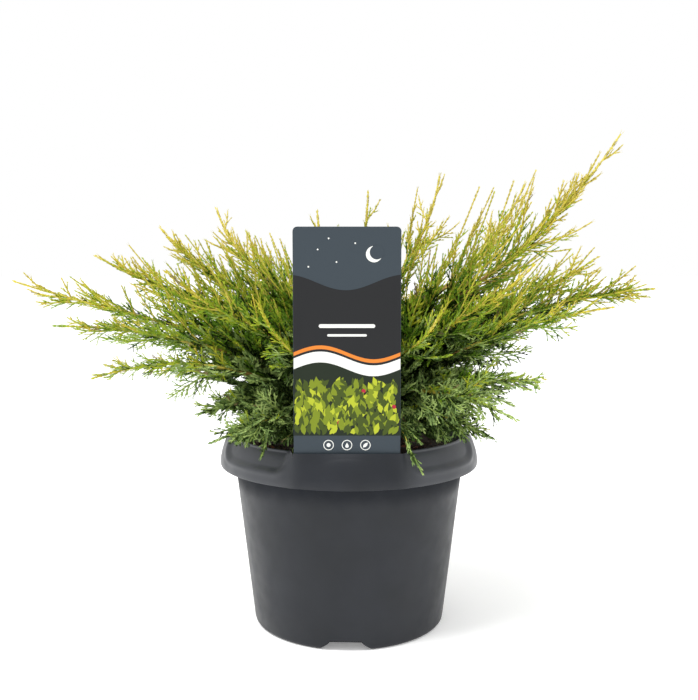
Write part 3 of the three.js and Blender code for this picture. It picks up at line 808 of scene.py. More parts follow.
def growMass(index, stems, leaves, leafPair):
    name = plumes[index]["name"]
    random = np.random.default_rng(plumeForm["seed"] + index)
    sprays = sideShoots(index, random)
    values = {key: twigSizes[key] for key in ("Leaf Spacing", "Leaf Size")}
    values.update({"Leaf Pair": leafPair, "Seed": index, **dict(zip(leafTints, leafMaterials))})
    leafy = linesMesh("sprays_" + name, leafyLines(index, sprays, random))
    woody = linesMesh("twigs_" + name, woodyLines(index, sprays))
    sprayPiece = growPiece("sprays_" + name, leafy, leaves, values)
    twigPiece = growPiece("twigs_" + name, woody, stems, dict(zip(stemTints, stemMaterials)))
    standFor("foliage", ["foliage_" + name], sprayPiece)
    standFor("bark", ["foliage_" + name], twigPiece)
    return [sum(len(p.vertices) - 2 for p in piece.data.polygons) for piece in (sprayPiece, twigPiece)]


leafPair = scaleLeafPair()
stems, leaves = stemTree(), scaleLeafTree()
triangles = np.array([growMass(index, stems, leaves, leafPair) for index in range(len(plumes))])
print("foliage made with", triangles[:, 0].sum(), "leaf and", triangles[:, 1].sum(), "stem triangles")
bpy.data.objects.remove(leafPair)


# Pot: injection-moulded polypropylene, anthracite. Its satin skin gives wide soft highlights and pale edges.
potFinish = {
    # the wall's colour and pigment, and a lighter colour on the collar that is painted top light
    "colour": "#191b20", "pigment": ((0.35, "#171a1f"), (0.7, "#1c1f25")), "paintedCollarLight": "#3d3f43",
    # in metres: heights of the collar's foot, where its painted top light starts, the wall's top and its matt
    # band, and the label seat with the distances of its painted shade
    "collarFrom": 0.1176, "wallTo": 0.1172, "mattBand": (0.098, 0.113), "seat": (0, -0.09, 0),
    "shaded": (0.03, 0.052),
    # roughness in itself, where it is scuffed, and how much the matt band adds
    "rough": 0.42, "scuffed": (0.36, 0.5), "matt": 0.42,
    # noise scales are one over the pattern's size in metres
    "cloudScale": 33.0, "scuffScale": 85.0, "grainScale": 2000.0,
}


def potMaterial():
    form = potFinish
    finish = {"roughness": form["rough"], "ior": 1.49, "specular": 0.3}
    material, add, shader = newMaterial("satin_moulded_polypropylene", form["colour"], **finish)
    place = add("ShaderNodeTexCoord").outputs["Object"]
    # the pigment clouds a little over 30 mm, and handling leaves faint dull patches over 12 mm
    clouds = add("ShaderNodeTexNoise", {"Vector": place, "Scale": form["cloudScale"], "Detail": 3.0})
    pigment = setStops(add("ShaderNodeValToRGB", {"Fac": clouds}), *form["pigment"])
    # the collar, which faces up, is painted lighter than the wall as painted top light, except round the
    # label seat, which keeps the darker colour as painted shade of the label
    height = add("ShaderNodeSeparateXYZ", {"Vector": place}).outputs["Z"]
    collar = add("ShaderNodeMath", {0: height, 1: form["collarFrom"]}, operation="GREATER_THAN")
    flat = add("ShaderNodeVectorMath", {0: place, 1: (1, 1, 0)}, operation="MULTIPLY")
    away = add("ShaderNodeVectorMath", {0: flat, 1: form["seat"]}, operation="DISTANCE").outputs["Value"]
    near, far = form["shaded"]
    span = {"Value": away, "From Min": near, "From Max": far, "To Min": 0.0, "To Max": collar}
    paintedCollarLight = add("ShaderNodeMapRange", span, interpolation_type="SMOOTHSTEP")
    shades = {0: paintedCollarLight, 6: pigment, 7: linearColour(form["paintedCollarLight"])}
    colour = add("ShaderNodeMix", shades, data_type="RGBA").outputs[2]
    scuffs = add("ShaderNodeTexNoise", {"Vector": place, "Scale": form["scuffScale"], "Detail": 5.0})
    smooth, rough = form["scuffed"]
    span = {"Value": scuffs, "From Min": 0.3, "From Max": 0.75, "To Min": smooth, "To Max": rough}
    dull = add("ShaderNodeMapRange", span)
    # the top 18 mm of the wall, which the collar keeps from being handled, has stayed matt
    low, high = form["mattBand"]
    span = {"Value": height, "From Min": low, "From Max": high, "To Min": 0.0, "To Max": form["matt"]}
    matt = add("ShaderNodeMapRange", span, interpolation_type="SMOOTHSTEP")
    below = add("ShaderNodeMath", {0: height, 1: form["wallTo"]}, operation="LESS_THAN")
    roughness = add("ShaderNodeMath", {0: matt, 1: below, 2: dull}, operation="MULTIPLY_ADD")
    # the mould's fine grain is 0.1 mm, too fine to show, so it is drawn at 0.5 mm
    grain = add("ShaderNodeTexNoise", {"Vector": place, "Scale": form["grainScale"], "Detail": 2.0})
    bump = add("ShaderNodeBump", {"Height": grain, "Strength": 0.12, "Distance": 0.0001})
    feed(shader, {"Base Color": colour, "Roughness": roughness, "Normal": bump})
    return material


potForm = {
    "height": 141, "footRadius": 70.2, "taper": 0.117, "wall": 1.8, "floor": 2.5, "floorFlat": 40,
    "segments": 360, "ringStep": 0.9, "ringFrom": 116,
    # the collar's outer face: above its foot, and outside a sloping line over its underside
    "collarFoot": 117, "face": (85, 92.8), "underside": (121.5, 92.4, 2.2),
    "seatFront": 87.5, "seatHalfWidth": 40.5, "seatBlend": 2.4, "seatSoftness": 4, "seatWidest": 94.4,
    "scoopDepth": 1.7, "scoopMiddle": 43, "scoopHalfLength": 27, "scoopLow": 126.5, "scoopCorner": 10,
    "scoopEdge": 3.6, "scoopFade": 0.6, "scoopRadius": 93, "scoopTop": (138.8, 140.9),
    "bead": 0.7, "beadWidth": 1.9, "beadOut": 0.8,
    "notchCount": 4, "notchHeight": 7, "notchTop": 10.8, "notchFoot": 18, "notchDepth": 15, "turned": -1.9,
    # the pockets behind the notches end inside the wall, and the notches' cutters outside it
    "pocketReach": 69.2, "pocketFoot": 0.4, "notchReach": 78,
    "holeRadius": 4, "holeDepth": 12, "holePlace": (0, -62.5, 8),
    "slotSize": (71.5, 9, 19.5), "slotPlace": (-1.3, -81.4, 133.25),
    # edges between faces that meet at more than this angle are drawn sharp
    "sharp": 38,
}


def roundedOutline(corners, steps=5):
    # corners: (radius, height, rounding in mm), each rounded between its neighbours
    points = []
    for i, (x, z, size) in enumerate(corners):
        here = np.array([x, z], float)
        if size == 0 or i in (0, len(corners) - 1):
            points.append(here)
            continue
        sides = [np.array(corners[j][:2], float) - here for j in (i - 1, i + 1)]
        ends = [here + s / np.linalg.norm(s) * min(size, np.linalg.norm(s) * 0.48) for s in sides]
        for t in np.linspace(0, 1, steps):
            points.append((1 - t) ** 2 * ends[0] + 2 * t * (1 - t) * here + t**2 * ends[1])
    return np.array(points)


def closerPoints(outline, step, above):
    # more points on the long stretches above a height, for the forms pressed into the collar
    points = [outline[0]]
    for low, high in zip(outline[:-1], outline[1:]):
        count = max(1, math.ceil(np.linalg.norm(high - low) / step)) if min(low[1], high[1]) > above else 1
        points += [lerp(low, high, (i + 1) / count) for i in range(count)]
    return np.array(points)


def turnedMesh(name, outline, segments, reshape):
    # a closed turned body, whose outline starts and ends on the axis
    angle = np.arange(segments) * 2 * math.pi / segments
    radius = np.repeat(outline[:, :1], segments, axis=1)
    height = np.repeat(outline[:, 1:], segments, axis=1)
    turn = np.repeat(angle[None], len(outline), axis=0)
    radius, height = reshape(radius, height, turn)
    points = np.stack([radius * np.sin(turn), -radius * np.cos(turn), height], axis=-1) * millimetre
    bm = bmesh.new()
    rings = []
    for (fromAxis, _), ring in zip(outline, points):
        rings.append([bm.verts.new(p) for p in (ring[:1] if abs(fromAxis) < 1e-6 else ring)])
    for low, high in zip(rings[:-1], rings[1:]):
        for s in range(segments):
            n = (s + 1) % segments
            corners = [low[s % len(low)], low[n % len(low)], high[n % len(high)], high[s % len(high)]]
            bm.faces.new(list(dict.fromkeys(corners)))
    bmesh.ops.recalc_face_normals(bm, faces=bm.faces)
    return meshFrom(bm, name)


def collarShape(radius, height, turn):
    # the collar's outer face stands out to the flat label seat in front, and dips inwards beside it
    form = potForm
    away = np.degrees(np.abs((turn + math.pi) % (2 * math.pi) - math.pi))
    innermost, outside = form["face"]
    foot, fromRadius, slope = form["underside"]
    outer = (radius > outside) | (height > foot + (fromRadius - radius) * slope)
    outer &= (height > form["collarFoot"]) & (radius > innermost)
    seatEnd = math.degrees(math.atan(form["seatHalfWidth"] / form["seatFront"]))
    flat = np.minimum(form["seatWidest"], form["seatFront"] / np.cos(np.radians(np.minimum(away, 60))))
    onSeat = 1 - smoothStep(away, seatEnd - form["seatBlend"], seatEnd + form["seatBlend"])
    softness = form["seatSoftness"]
    fuller = (radius + flat + np.hypot(radius - flat, softness) - softness * 0.6) / 2
    seat = lerp(radius, np.maximum(radius, fuller), onSeat)
    # each scoop is a box with rounded lower corners, open to the rim above
    corner = form["scoopCorner"]
    along = np.radians(away - form["scoopMiddle"]) * form["scoopRadius"]
    beside = np.where(along > 0, along * form["scoopFade"], -along) - form["scoopHalfLength"] + corner
    below = form["scoopLow"] + corner - height
    inward = corner - np.hypot(np.maximum(beside, 0), np.maximum(below, 0))
    bead = form["bead"] * np.exp(-(((inward + form["beadOut"]) / form["beadWidth"]) ** 2))
    dip = form["scoopDepth"] * smoothStep(inward, 0, form["scoopEdge"]) - bead
    dip *= 1 - smoothStep(height, *form["scoopTop"])
    return np.where(outer, seat - dip, radius), height


def potOutline():
    form = potForm
    flat, floor, top = form["floorFlat"], form["floor"], form["height"]

    def wall(z, inwards=0):
        return form["footRadius"] + form["taper"] * z - inwards

    inside = partial(wall, inwards=form["wall"])
    shell = [(0, 0, 0), (flat, 0, 0), (wall(0), 0, 3.2)] + [(wall(z), z, 0) for z in (30, 60, 90, 120)]
    shell += [(wall(131.5), 131.5, 1.2), (87.6, 131, 2.2), (91.6, 122, 4), (92.6, 117.7, 0.4)]
    collar = [(94.7, 117.7, 0.5), (95, 119.5, 1), (94.8, 123, 1.5), (94.1, 126.4, 1.5), (93.6, 128.4, 1)]
    collar += [(92.9, 130.6, 1), (91.9, 133.6, 1.5), (90.6, 136.6, 1.5), (89, 139, 1.2), (87.4, 140.5, 0.9)]
    bowl = [(wall(top), top, 0.9), (inside(top) + 0.4, 140.3, 0.8)] + [(inside(z), z, 0) for z in (120, 60)]
    bowl += [(inside(floor), floor, 2), (flat, floor, 0), (0, floor, 0)]
    return closerPoints(roundedOutline(shell + collar + bowl), form["ringStep"], form["ringFrom"])


def prismMesh(outline, nearY, farY):
    # a prism along Y, flat at its near end, with a Y for each corner of its far end
    bm = bmesh.new()
    near = [bm.verts.new(metres(x, nearY, z)) for x, z in outline]
    far = [bm.verts.new(metres(x, y, z)) for (x, z), y in zip(outline, farY)]
    bm.faces.new(near[::-1])
    bm.faces.new(far)
    for i in range(len(outline)):
        j = (i + 1) % len(outline)
        bm.faces.new((near[i], near[j], far[j], far[i]))
    bmesh.ops.triangulate(bm, faces=bm.faces)
    return bm


def notchOutline(growth):
    # the notch's side sweeps out to a rounded shoulder at the foot
    form = potForm
    z = np.linspace(0, 1, 7)
    x = lerp(form["notchFoot"], form["notchTop"], smoothStep(z, 0, 1) ** 0.8) + growth
    side = [(float(a), float(b) * (form["notchHeight"] + growth)) for a, b in zip(x, z)]
    side = [(side[0][0] + 1, -1.0)] + side
    return side + [(-a, b) for a, b in reversed(side)]


def notchTurn(quarter):
    angle = quarter * 360 / potForm["notchCount"] + potForm["turned"]
    return Matrix.Rotation(math.radians(angle), 4, "Z")


def cutterPiece(name, growth, reach):
    # the notches' prisms in a ring, grown by some millimetres and reaching out to a radius
    form = potForm
    near = -(form["footRadius"] - form["notchDepth"] - growth)
    outline = [(x, max(z, form["pocketFoot"]) if growth else z) for x, z in notchOutline(growth)]
    far = [-math.sqrt(reach**2 - x * x) for x, _ in outline]
    prism = meshFrom(prismMesh(outline, near, far), name)
    ring = bmesh.new()
    for quarter in range(form["notchCount"]):
        copy = prism.copy()
        copy.transform(notchTurn(quarter))
        ring.from_mesh(copy)
        bpy.data.meshes.remove(copy)
    bpy.data.meshes.remove(prism)
    return addPiece(name, meshFrom(ring, name))


def holesPiece():
    # a drain hole over each notch, and the label's slot in the rim
    form = potForm
    radius, depth = metres(form["holeRadius"], form["holeDepth"])
    cone = {"cap_ends": True, "segments": 24, "radius1": radius, "radius2": radius, "depth": depth}
    holes = bmesh.new()
    for quarter in range(form["notchCount"]):
        place = notchTurn(quarter) @ Matrix.Translation(metres(*form["holePlace"]))
        bmesh.ops.create_cone(holes, matrix=place, **cone)
    slotSize = Matrix.Diagonal((*metres(*form["slotSize"]), 1))
    slotPlace = Matrix.Translation(metres(*form["slotPlace"]))
    bmesh.ops.create_cube(holes, size=1, matrix=slotPlace @ slotSize)
    return addPiece("pot_holes", meshFrom(holes, "pot_holes"))


def makePot():
    form = potForm
    shell = addPiece("pot_blank", turnedMesh("pot_blank", potOutline(), form["segments"], collarShape))
    pockets = cutterPiece("pot_pockets", form["wall"], form["pocketReach"])
    notches = cutterPiece("pot_notches", 0, form["notchReach"])
    cutters = [(pockets, "UNION"), (notches, "DIFFERENCE"), (holesPiece(), "DIFFERENCE")]
    pot = carvedPiece("nursery_pot", shell, cutters, potMaterial())
    pot.data.shade_smooth()
    bm = bmesh.new()
    bm.from_mesh(pot.data)
    for edge in bm.edges:
        if len(edge.link_faces) == 2 and edge.calc_face_angle(0) > math.radians(form["sharp"]):
            edge.smooth = False
    bm.to_mesh(pot.data)
    bm.free()
    return pot


pot = makePot()
standFor("pot", ["pot"], pot)
print("pot made with", len(pot.data.polygons), "faces")


# Soil: moist peat compost, matt and near black, with crumbs and red-brown bark chips lying loose on it
soilForm = {
    "height": 129, "radius": 83, "foot": 2.9, "footRadius": 68.3, "edge": 4, "fall": 1.5, "flatTo": 58,
    "lump": 2.2, "crumble": 0.35, "lumpsFrom": 126, "segments": 180, "rings": 46, "notchRoom": 2.1,
}
# what lies loose: name, sizes in the tree, and its material with the noise's scale
looseForm = [
    (
        "peat_crumbs", {"Density": 42000.0, "Size": 0.0014, "Flatness": 0.8, "Seed": 3},
        ("peat_crumbs", "#20160f", "#57402f", 900.0),
    ),
    (
        "bark_chips", {"Density": 7000.0, "Size": 0.0036, "Flatness": 0.35, "Seed": 8},
        ("composted_bark_chips", "#4a2418", "#83503a", 600.0),
    ),
]


def peatMaterial(name, dark, light, scale):
    material, add, shader = newMaterial(name, dark, 0.95)
    place = add("ShaderNodeTexCoord").outputs["Object"]
    grain = add("ShaderNodeTexNoise", {"Vector": place, "Scale": scale, "Detail": 6.0, "Roughness": 0.65})
    grainFinish(add, shader, grain, [(0.38, dark), (0.68, light)], strength=0.6, depth=0.0008)
    return material


def soilSurface(radius, height, turn):
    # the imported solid's two crossing waves, and finer crumbling on top
    form = soilForm
    x, y = radius * np.sin(turn), -radius * np.cos(turn)
    wave = np.sin(x * 0.31 - y * 0.11) + np.cos(x * 0.13 + y * 0.27)
    fine = np.sin(x * 1.9 + 2.2 * np.sin(y * 0.7)) * np.sin(y * 1.7 + 1.9 * np.sin(x * 0.9))
    lumps = wave * form["lump"] / 2 * smoothStep(radius, 14, 22) + fine * form["crumble"]
    raised = height + lumps * smoothStep(86 - radius, 0, 6)
    return radius, np.where(height > form["lumpsFrom"], raised, height)


def makeSoil():
    form = soilForm
    foot, footRadius, height = form["foot"], form["footRadius"], form["height"]
    edge = form["radius"] - form["edge"]
    outline = [(0, foot, 0), (footRadius - 1.3, foot, 0), (footRadius, foot + 1.6, 0)]
    outline += [(81.2, height - 8, 0), (form["radius"] - 1.3, height - 3.5, 1)]
    for radius in np.linspace(edge, 3, form["rings"]):
        outline.append((radius, height - form["fall"] * smoothStep(radius, form["flatTo"], edge), 0))
    outline.append((0, height, 0))
    mesh = turnedMesh("potting_soil", roundedOutline(outline), form["segments"], soilSurface)
    mesh.shade_smooth()
    notches = cutterPiece("soil_notches", form["notchRoom"], potForm["notchReach"])
    peat = peatMaterial("moist_peat", "#1d1410", "#4a352a", 700.0)
    return carvedPiece("potting_soil", addPiece("soil_blank", mesh), [(notches, "DIFFERENCE")], peat)


def crumbTree():
    sizes = {
        "Density": ("Float", 10000.0), "Size": ("Float", 0.001), "Flatness": ("Float", 0.6),
        "Seed": ("Int", 3), "Crumb": ("Object", None), "Material": ("Material", None),
    }
    tree, add, inputs = newTree("Crumbs scattered on the soil", sizes)
    upward = add("ShaderNodeSeparateXYZ", {0: add("GeometryNodeInputNormal")}).outputs["Z"]
    onTop = add("FunctionNodeCompare", {0: upward, 1: 0.6}, data_type="FLOAT", operation="GREATER_THAN")
    spread = {"Mesh": inputs["Geometry"], "Selection": onTop}
    spread.update({key: inputs[key] for key in ("Density", "Seed")})
    points = add("GeometryNodeDistributePointsOnFaces", spread)
    # how each crumb is turned, and how far it is stretched
    limits = (((-0.7, -0.7, 0), (0.7, 0.7, 6.28)), ((0.5, 0.35, 0.3), (1.6, 0.9, 0.7)))
    ranges = [{0: low, 1: high, "Seed": inputs["Seed"]} for low, high in limits]
    turn, grown = (add("FunctionNodeRandomValue", r, data_type="FLOAT_VECTOR") for r in ranges)
    rotation = add("FunctionNodeEulerToRotation", {0: turn})
    size = add("ShaderNodeVectorMath", {0: grown, "Scale": inputs["Size"]}, operation="SCALE")
    flat = add("ShaderNodeCombineXYZ", {"X": 1.0, "Y": 1.0, "Z": inputs["Flatness"]})
    scale = add("ShaderNodeVectorMath", {0: size, 1: flat}, operation="MULTIPLY")
    crumb = add("GeometryNodeObjectInfo", {"Object": inputs["Crumb"]}).outputs["Geometry"]
    placed = {"Points": points, "Instance": crumb, "Rotation": rotation, "Scale": scale}
    laid = add("GeometryNodeInstanceOnPoints", placed)
    made = add("GeometryNodeRealizeInstances", {"Geometry": laid})
    done = add("GeometryNodeSetMaterial", {"Geometry": made, "Material": inputs["Material"]})
    add("NodeGroupOutput", {0: done})
    return tree


def crumbShape():
    bm = bmesh.new()
    bmesh.ops.create_icosphere(bm, subdivisions=1, radius=1)
    random = np.random.default_rng(5)
    for vertex in bm.verts:
        vertex.co *= float(random.uniform(0.65, 1.15))
    bmesh.ops.recalc_face_normals(bm, faces=bm.faces)
    return bpy.data.objects.new("crumb", meshFrom(bm, "crumb"))


soil = makeSoil()
crumb, scatter = crumbShape(), crumbTree()
loose = []
for name, sizes, finish in looseForm:
    values = {**sizes, "Crumb": crumb, "Material": peatMaterial(*finish)}
    loose.append(growPiece(name, soil.data.copy(), scatter, values))
standFor("soil", ["soil"], soil, *loose)
bpy.data.objects.remove(crumb)
print("soil made with", sum(len(piece.data.polygons) for piece in loose), "faces of crumbs and chips")


# Plant label: matt laminated card, offset printed with a landscape, leaves, berries and care signs
labelForm = {
    "left": -36.05, "right": 33.45, "foot": 123.8, "top": 287.5, "face": -85.5, "thickness": 0.8, "corner": 3,
    "margin": 0.25, "layer": 0.04, "stripTop": 152.5, "bandFoot": 196, "bandHeight": 7, "wave": 4.5,
    "stripeGap": 1.6, "stripeHeight": 2.4,
    # places and sizes: rules (height, length, thickness), discs (x, height, radius), stars (x, height)
    "rules": ((224, 34, 2.4), (218, 24, 1.5)), "moon": (16, 270, 5.2), "moonShade": (17.8, 271.2, 4.6),
    "stars": ((-20, 273), (-8, 265), (-26, 262), (4, 277), (-13, 280)), "starRadius": 0.55,
    "signHeight": 146.3, "signGap": 12, "signRadii": (3.4, 2.9),
    # printed leaves: their rows, spacing, length, and lean with its spread in radians; berries between rows
    "leafRows": 13, "leafStep": 2.3, "leafLength": 8.5, "leafLean": (80 / 180 * math.pi, 0.65),
    "berryRows": 4, "berry": 1.4, "seed": 4,
}
inks = {
    "ink_charcoal": "#191a1c", "ink_slate": "#323b42", "ink_pale": "#dcddd8", "ink_amber": "#d0782a",
    "ink_forest": "#141f0f", "ink_leaf_dark": "#39470c", "ink_leaf": "#707e16", "ink_leaf_light": "#a4ad28",
    "ink_berry": "#a11f33",
}
inkFinish = {"roughness": 0.55, "ior": 1.5, "specular": 0.25}
inkNumbers = {name: number for number, name in enumerate(inks)}


def discOutline(x, z, radius, steps=28):
    turn = np.arange(steps) * 2 * math.pi / steps
    return [(x + radius * math.cos(t), z + radius * math.sin(t)) for t in turn]


def bandOutline(x, lower, upper):
    # a strip across the card between two heights, each one number or one for each x
    low, high = (np.broadcast_to(height, x.shape) for height in (lower, upper))
    return [*zip(x, low), *zip(x[::-1], high[::-1])]


def barOutline(x, z, length, height):
    # a rule with round ends
    turn = np.linspace(-math.pi / 2, math.pi / 2, 9)
    right = [(x + length / 2 + math.cos(t) * height / 2, z + math.sin(t) * height / 2) for t in turn]
    return right + [(2 * x - a, 2 * z - b) for a, b in right]


def leafOutline(x, z, length, turn):
    # a pointed oval leaf
    side = [(0, 0), (0.3, 0.2), (0.6, 0.21), (1, 0)]
    outline = [(a, -b) for a, b in side] + [(a, b) for a, b in side[-2:0:-1]]
    c, s = math.cos(turn) * length, math.sin(turn) * length
    return [(x + a * c - b * s, z + a * s + b * c) for a, b in outline]


def dropOutline(x, z, size):
    around = np.linspace(math.radians(-215), math.radians(35), 16)
    return [(x + size * math.cos(t), z + size * math.sin(t)) for t in around] + [(x, z + size * 2.1)]


def printEdges():
    return labelForm["left"] + labelForm["margin"], labelForm["right"] - labelForm["margin"]


def labelShapes():
    form = labelForm
    left, right = printEdges()
    middle = (left + right) / 2
    across = np.linspace(left, right, 40)
    bandFoot = form["bandFoot"] + form["wave"] * np.sin((across - left) / (right - left) * 2 * math.pi)
    bandTop = bandFoot + form["bandHeight"]
    stripe = bandTop + form["stripeGap"]
    hills = 252 + 5 * np.sin(across / 12 - 1.4)
    shapes = [
        ("ink_slate", bandOutline(across, form["foot"], form["stripTop"])),
        ("ink_charcoal", bandOutline(across, bandFoot, hills)),
        ("ink_forest", bandOutline(across, form["stripTop"], bandFoot)),
        ("ink_pale", bandOutline(across, bandFoot, bandTop)),
        ("ink_amber", bandOutline(across, stripe, stripe + form["stripeHeight"])),
        *(("ink_pale", barOutline(middle, *rule)) for rule in form["rules"]),
        ("ink_pale", discOutline(*form["moon"])),
        ("ink_slate", discOutline(*form["moonShade"])),
        *(("ink_pale", discOutline(x, z, form["starRadius"], 8)) for x, z in form["stars"]),
    ]
    # care signs: a sun, a drop and a leaf, each on a round badge
    height, gap = form["signHeight"], form["signGap"]
    for x in (middle - gap, middle, middle + gap):
        for ink, radius in zip(("ink_pale", "ink_slate"), form["signRadii"]):
            shapes.append((ink, discOutline(x, height, radius)))
    shapes.append(("ink_pale", discOutline(middle - gap, height, 1.3)))
    shapes.append(("ink_pale", dropOutline(middle, height - 0.7, 1.1)))
    shapes.append(("ink_pale", leafOutline(middle + gap - 1.6, height - 1.6, 4.6, math.radians(45))))
    return shapes


def printedLeaves():
    # rows of leaves from the top down, each row over the one above
    form = labelForm
    random = np.random.default_rng(form["seed"])
    left, right = printEdges()
    highest = form["bandFoot"] - form["wave"]
    greens = ("ink_leaf_dark", "ink_leaf", "ink_leaf_light")
    leaves = []
    for row in range(form["leafRows"]):
        z = lerp(form["bandFoot"] - 12, form["stripTop"] + 0.5, row / (form["leafRows"] - 1))
        for x in np.arange(left, right, form["leafStep"]):
            turn = random.normal(*form["leafLean"])
            length = form["leafLength"] * random.uniform(0.6, 1.1)
            outline = leafOutline(x + random.uniform(-1, 1), z + random.uniform(-1.2, 1.2), length, turn)
            low, high = np.min(outline, axis=0), np.max(outline, axis=0)
            if low[0] < left or high[0] > right or low[1] < form["stripTop"] or high[1] > highest:
                continue
            leaves.append((greens[int(np.clip(random.normal(1.1, 0.8), 0, 2))], outline))
        if row % form["berryRows"] == 2:
            x = random.uniform(left + 4, right - 4)
            leaves.append(("ink_berry", discOutline(x, z + 3, form["berry"], 14)))
    return leaves


def makeLabel():
    form = labelForm
    arc = np.radians(np.linspace(0, 90, 7))
    corner = [(form["corner"] * (math.cos(t) - 1), form["corner"] * (math.sin(t) - 1)) for t in arc]
    outline = [(form["left"], form["foot"]), (form["right"], form["foot"])]
    outline += [(form["right"] + x, form["top"] + z) for x, z in corner]
    outline += [(form["left"] - x, form["top"] + z) for x, z in reversed(corner)]
    back = [form["face"] + form["thickness"]] * len(outline)
    cardMesh = meshFrom(prismMesh(outline, form["face"], back), "label_card")
    materials = [newMaterial(name, colour, **inkFinish)[0] for name, colour in inks.items()]
    card = addPiece("label_card", cardMesh, materials[inkNumbers["ink_slate"]])
    vertices, faces, numbers = [], [], []
    for layer, (ink, shape) in enumerate(labelShapes() + printedLeaves()):
        y = form["face"] - form["layer"] * (1 + min(layer, 9) * 0.3) - layer * 0.0003
        faces.append(tuple(range(len(vertices), len(vertices) + len(shape))))
        vertices += [metres(x, y, z) for x, z in shape]
        numbers.append(inkNumbers[ink])
    printMesh = bpy.data.meshes.new("label_print")
    printMesh.from_pydata(vertices, [], faces)
    printed = addPiece("label_print", printMesh, *materials)
    printMesh.polygons.foreach_set("material_index", numbers)
    return card, printed


label = makeLabel()
standFor("label", ["label"], *label)
print("label made with", len(label[1].data.polygons), "printed shapes")


# Trunk and boughs: thin brown juniper bark that splits into lengthwise flakes, matt with grey ridges
barkForm = {
    "sides": (18, 10), "ringSpacing": (0.0009, 0.0013), "relief": 0.0011, "flakes": 3.2, "stretch": 85.0,
    # the relief is full on a limb of 4 mm, and less on thinner ones
    "full": 250.0,
}


def roundTheLimb(add, around, along, stretch):
    # a place on a cylinder, from the share of the way round and the metres along, so that no seam shows
    angle = add("ShaderNodeMath", {0: around, 1: 2 * math.pi}, operation="MULTIPLY")
    cosine = add("ShaderNodeMath", {0: angle}, operation="COSINE")
    sine = add("ShaderNodeMath", {0: angle}, operation="SINE")
    length = add("ShaderNodeMath", {0: along, 1: stretch}, operation="MULTIPLY")
    return add("ShaderNodeCombineXYZ", {"X": cosine, "Y": sine, "Z": length})


def barkMaterial():
    material, add, shader = newMaterial("flaking_juniper_bark", "#6a4630", 0.88)
    around, along = (
        add("ShaderNodeAttribute", attribute_name=name).outputs["Fac"] for name in ("round", "along")
    )
    # flakes are about 2 mm wide and 12 mm long
    place = roundTheLimb(add, around, along, 80.0)
    flakes = add("ShaderNodeTexNoise", {"Vector": place, "Scale": 3.4, "Detail": 5.0, "Roughness": 0.6})
    stops = [(0.36, "#3d281d"), (0.5, "#6f4a33"), (0.66, "#9a7a5e")]
    grainFinish(add, shader, flakes, stops, strength=0.5, depth=0.0005)
    return material


def barkTree():
    sizes = {
        "Sides": ("Int", 16), "Ring Spacing": ("Float", 0.001), "Relief": ("Float", 0.001),
        "Flakes": ("Float", 3.0), "Stretch": ("Float", 80.0), "Material": ("Material", None),
    }
    tree, add, inputs = newTree("Bark relief along limbs", sizes)
    keep = {"data_type": "FLOAT", "domain": "POINT"}
    curve = add("GeometryNodeMeshToCurve", {"Mesh": inputs["Geometry"]})
    fine = add("GeometryNodeResampleCurve", {"Curve": curve, "Length": inputs["Ring Spacing"]}, mode="LENGTH")
    run = add("GeometryNodeSplineParameter").outputs["Length"]
    marked = add("GeometryNodeStoreNamedAttribute", {"Geometry": fine, "Name": "along", "Value": run}, **keep)
    circle = {"Resolution": inputs["Sides"], "Radius": 1.0}
    ring = add("GeometryNodeCurvePrimitiveCircle", circle, mode="RADIUS")
    run = add("GeometryNodeSplineParameter").outputs["Factor"]
    ring = add("GeometryNodeStoreNamedAttribute", {"Geometry": ring, "Name": "round", "Value": run}, **keep)
    thick, along, around = (
        add("GeometryNodeInputNamedAttribute", {"Name": name}, data_type="FLOAT")
        for name in ("thickness", "along", "round")
    )
    profile = {"Profile Curve": ring, "Scale": thick, "Fill Caps": True}
    tube = add("GeometryNodeCurveToMesh", {"Curve": marked, **profile})
    place = roundTheLimb(add, around, along, inputs["Stretch"])
    noise = add("ShaderNodeTexNoise", {"Vector": place, "Scale": inputs["Flakes"], "Detail": 4.0})
    middle = add("ShaderNodeMath", {0: noise, 1: 0.55}, operation="SUBTRACT")
    depth = add("ShaderNodeMath", {0: middle, 1: inputs["Relief"]}, operation="MULTIPLY")
    share = add("ShaderNodeMath", {0: thick, 1: barkForm["full"]}, operation="MULTIPLY")
    depth = add("ShaderNodeMath", {0: depth, 1: share}, operation="MULTIPLY")
    normal = add("GeometryNodeInputNormal")
    offset = add("ShaderNodeVectorMath", {0: normal, "Scale": depth}, operation="SCALE")
    raised = add("GeometryNodeSetPosition", {"Geometry": tube, "Offset": offset})
    made = add("GeometryNodeRealizeInstances", {"Geometry": raised})
    done = add("GeometryNodeSetMaterial", {"Geometry": made, "Material": inputs["Material"]})
    add("NodeGroupOutput", {0: done})
    return tree


def limbLine(curve, share, radius):
    return pointAt(curve, share)[None], radius(share)[None], np.array([0])


bark = barkMaterial()
barkRelief = barkTree()
trunkLines = [limbLine(trunk, np.linspace(0, 1, 40), trunkRadius)]
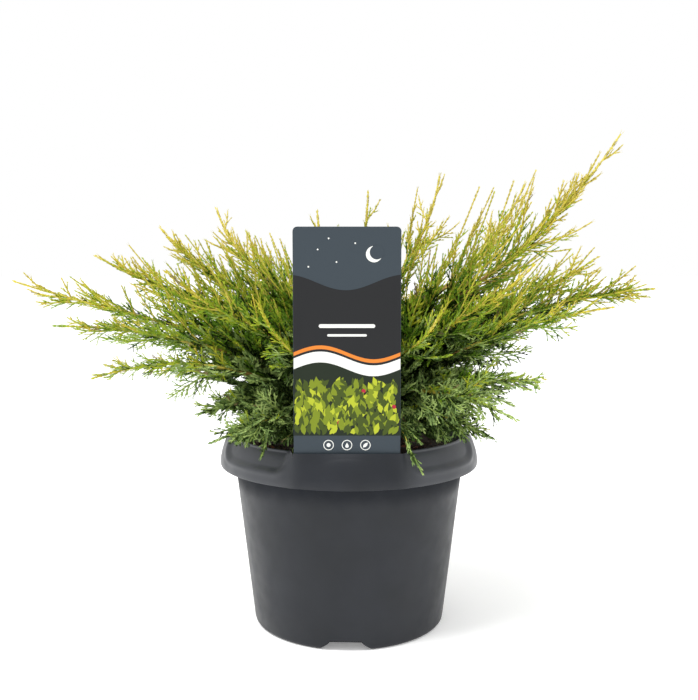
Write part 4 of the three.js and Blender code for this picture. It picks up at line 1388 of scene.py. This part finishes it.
# a bough, or the bare foot of a mass that starts at the trunk
boughEnds = [plume["bare"] or 0.03 for plume in plumes]
boughLines = [limbLine(curve, np.linspace(0, end, 10), stemRadius) for curve, end in zip(curves, boughEnds)]
boughNodes = ["bough_" + plume["name"] for plume in plumes if plume["bare"]]
limbs = [("trunk_bark", trunkLines, ["trunk"]), ("boughs_bark", boughLines, boughNodes)]
barkFaces = 0
for (name, lines, nodes), sides, spacing in zip(limbs, barkForm["sides"], barkForm["ringSpacing"]):
    values = {"Sides": sides, "Ring Spacing": spacing, "Relief": barkForm["relief"]}
    values.update({"Flakes": barkForm["flakes"], "Stretch": barkForm["stretch"], "Material": bark})
    piece = growPiece(name, linesMesh(name, lines), barkRelief, values)
    piece.data.shade_smooth()
    standFor("bark", nodes, piece)
    barkFaces += len(piece.data.polygons)
print("trunk and boughs made with", barkFaces, "faces")


# Camera at the photograph's angle
cameraForm = {"lens": 47.3, "sensor": 36, "place": (0, -0.676, 0.266), "lookDown": 5.56}
camera = bpy.data.objects.new("camera", bpy.data.cameras.new("camera"))
camera.data.lens = cameraForm["lens"]
camera.data.sensor_width = cameraForm["sensor"]
camera.location = cameraForm["place"]
camera.rotation_euler = (math.radians(90 - cameraForm["lookDown"]), 0, 0)
bpy.context.scene.collection.objects.link(camera)
bpy.context.scene.camera = camera

# Stage: a white floor and surroundings with one large soft light from the front left
stageForm = {
    "floor": [(-9, -6, 0), (9, -6, 0), (9, 14, 0), (-9, 14, 0)], "floorGlow": 0.22, "surroundings": 1.0,
    "lampPlace": (-0.8, -0.7, 2.3), "lampAim": (0, 0, 0.15), "lampSize": 0.8, "lampPower": 50,
}
white = (1, 1, 1, 1)
floorMesh = bpy.data.meshes.new("floor")
floorMesh.from_pydata(stageForm["floor"], [], [(0, 1, 2, 3)])
backlitTable, _, tableShader = newMaterial("backlit_white_table", "#ffffff", 0.9)
feed(tableShader, {"Emission Color": white, "Emission Strength": stageForm["floorGlow"]})
addPiece("floor", floorMesh, backlitTable)
world = bpy.data.worlds.new("soft_white")
world.use_nodes = True
feed(world.node_tree.nodes["Background"], {"Color": white, "Strength": stageForm["surroundings"]})
bpy.context.scene.world = world
bpy.context.scene.view_settings.view_transform = "Standard"
lampData = bpy.data.lights.new("soft_box", "AREA")
lampData.size = stageForm["lampSize"]
lampData.energy = stageForm["lampPower"]
lamp = bpy.data.objects.new("soft_box", lampData)
lamp.location = stageForm["lampPlace"]
lamp.rotation_euler = (Vector(stageForm["lampAim"]) - lamp.location).to_track_quat("-Z", "Y").to_euler()
bpy.context.scene.collection.objects.link(lamp)
print("camera and light placed")
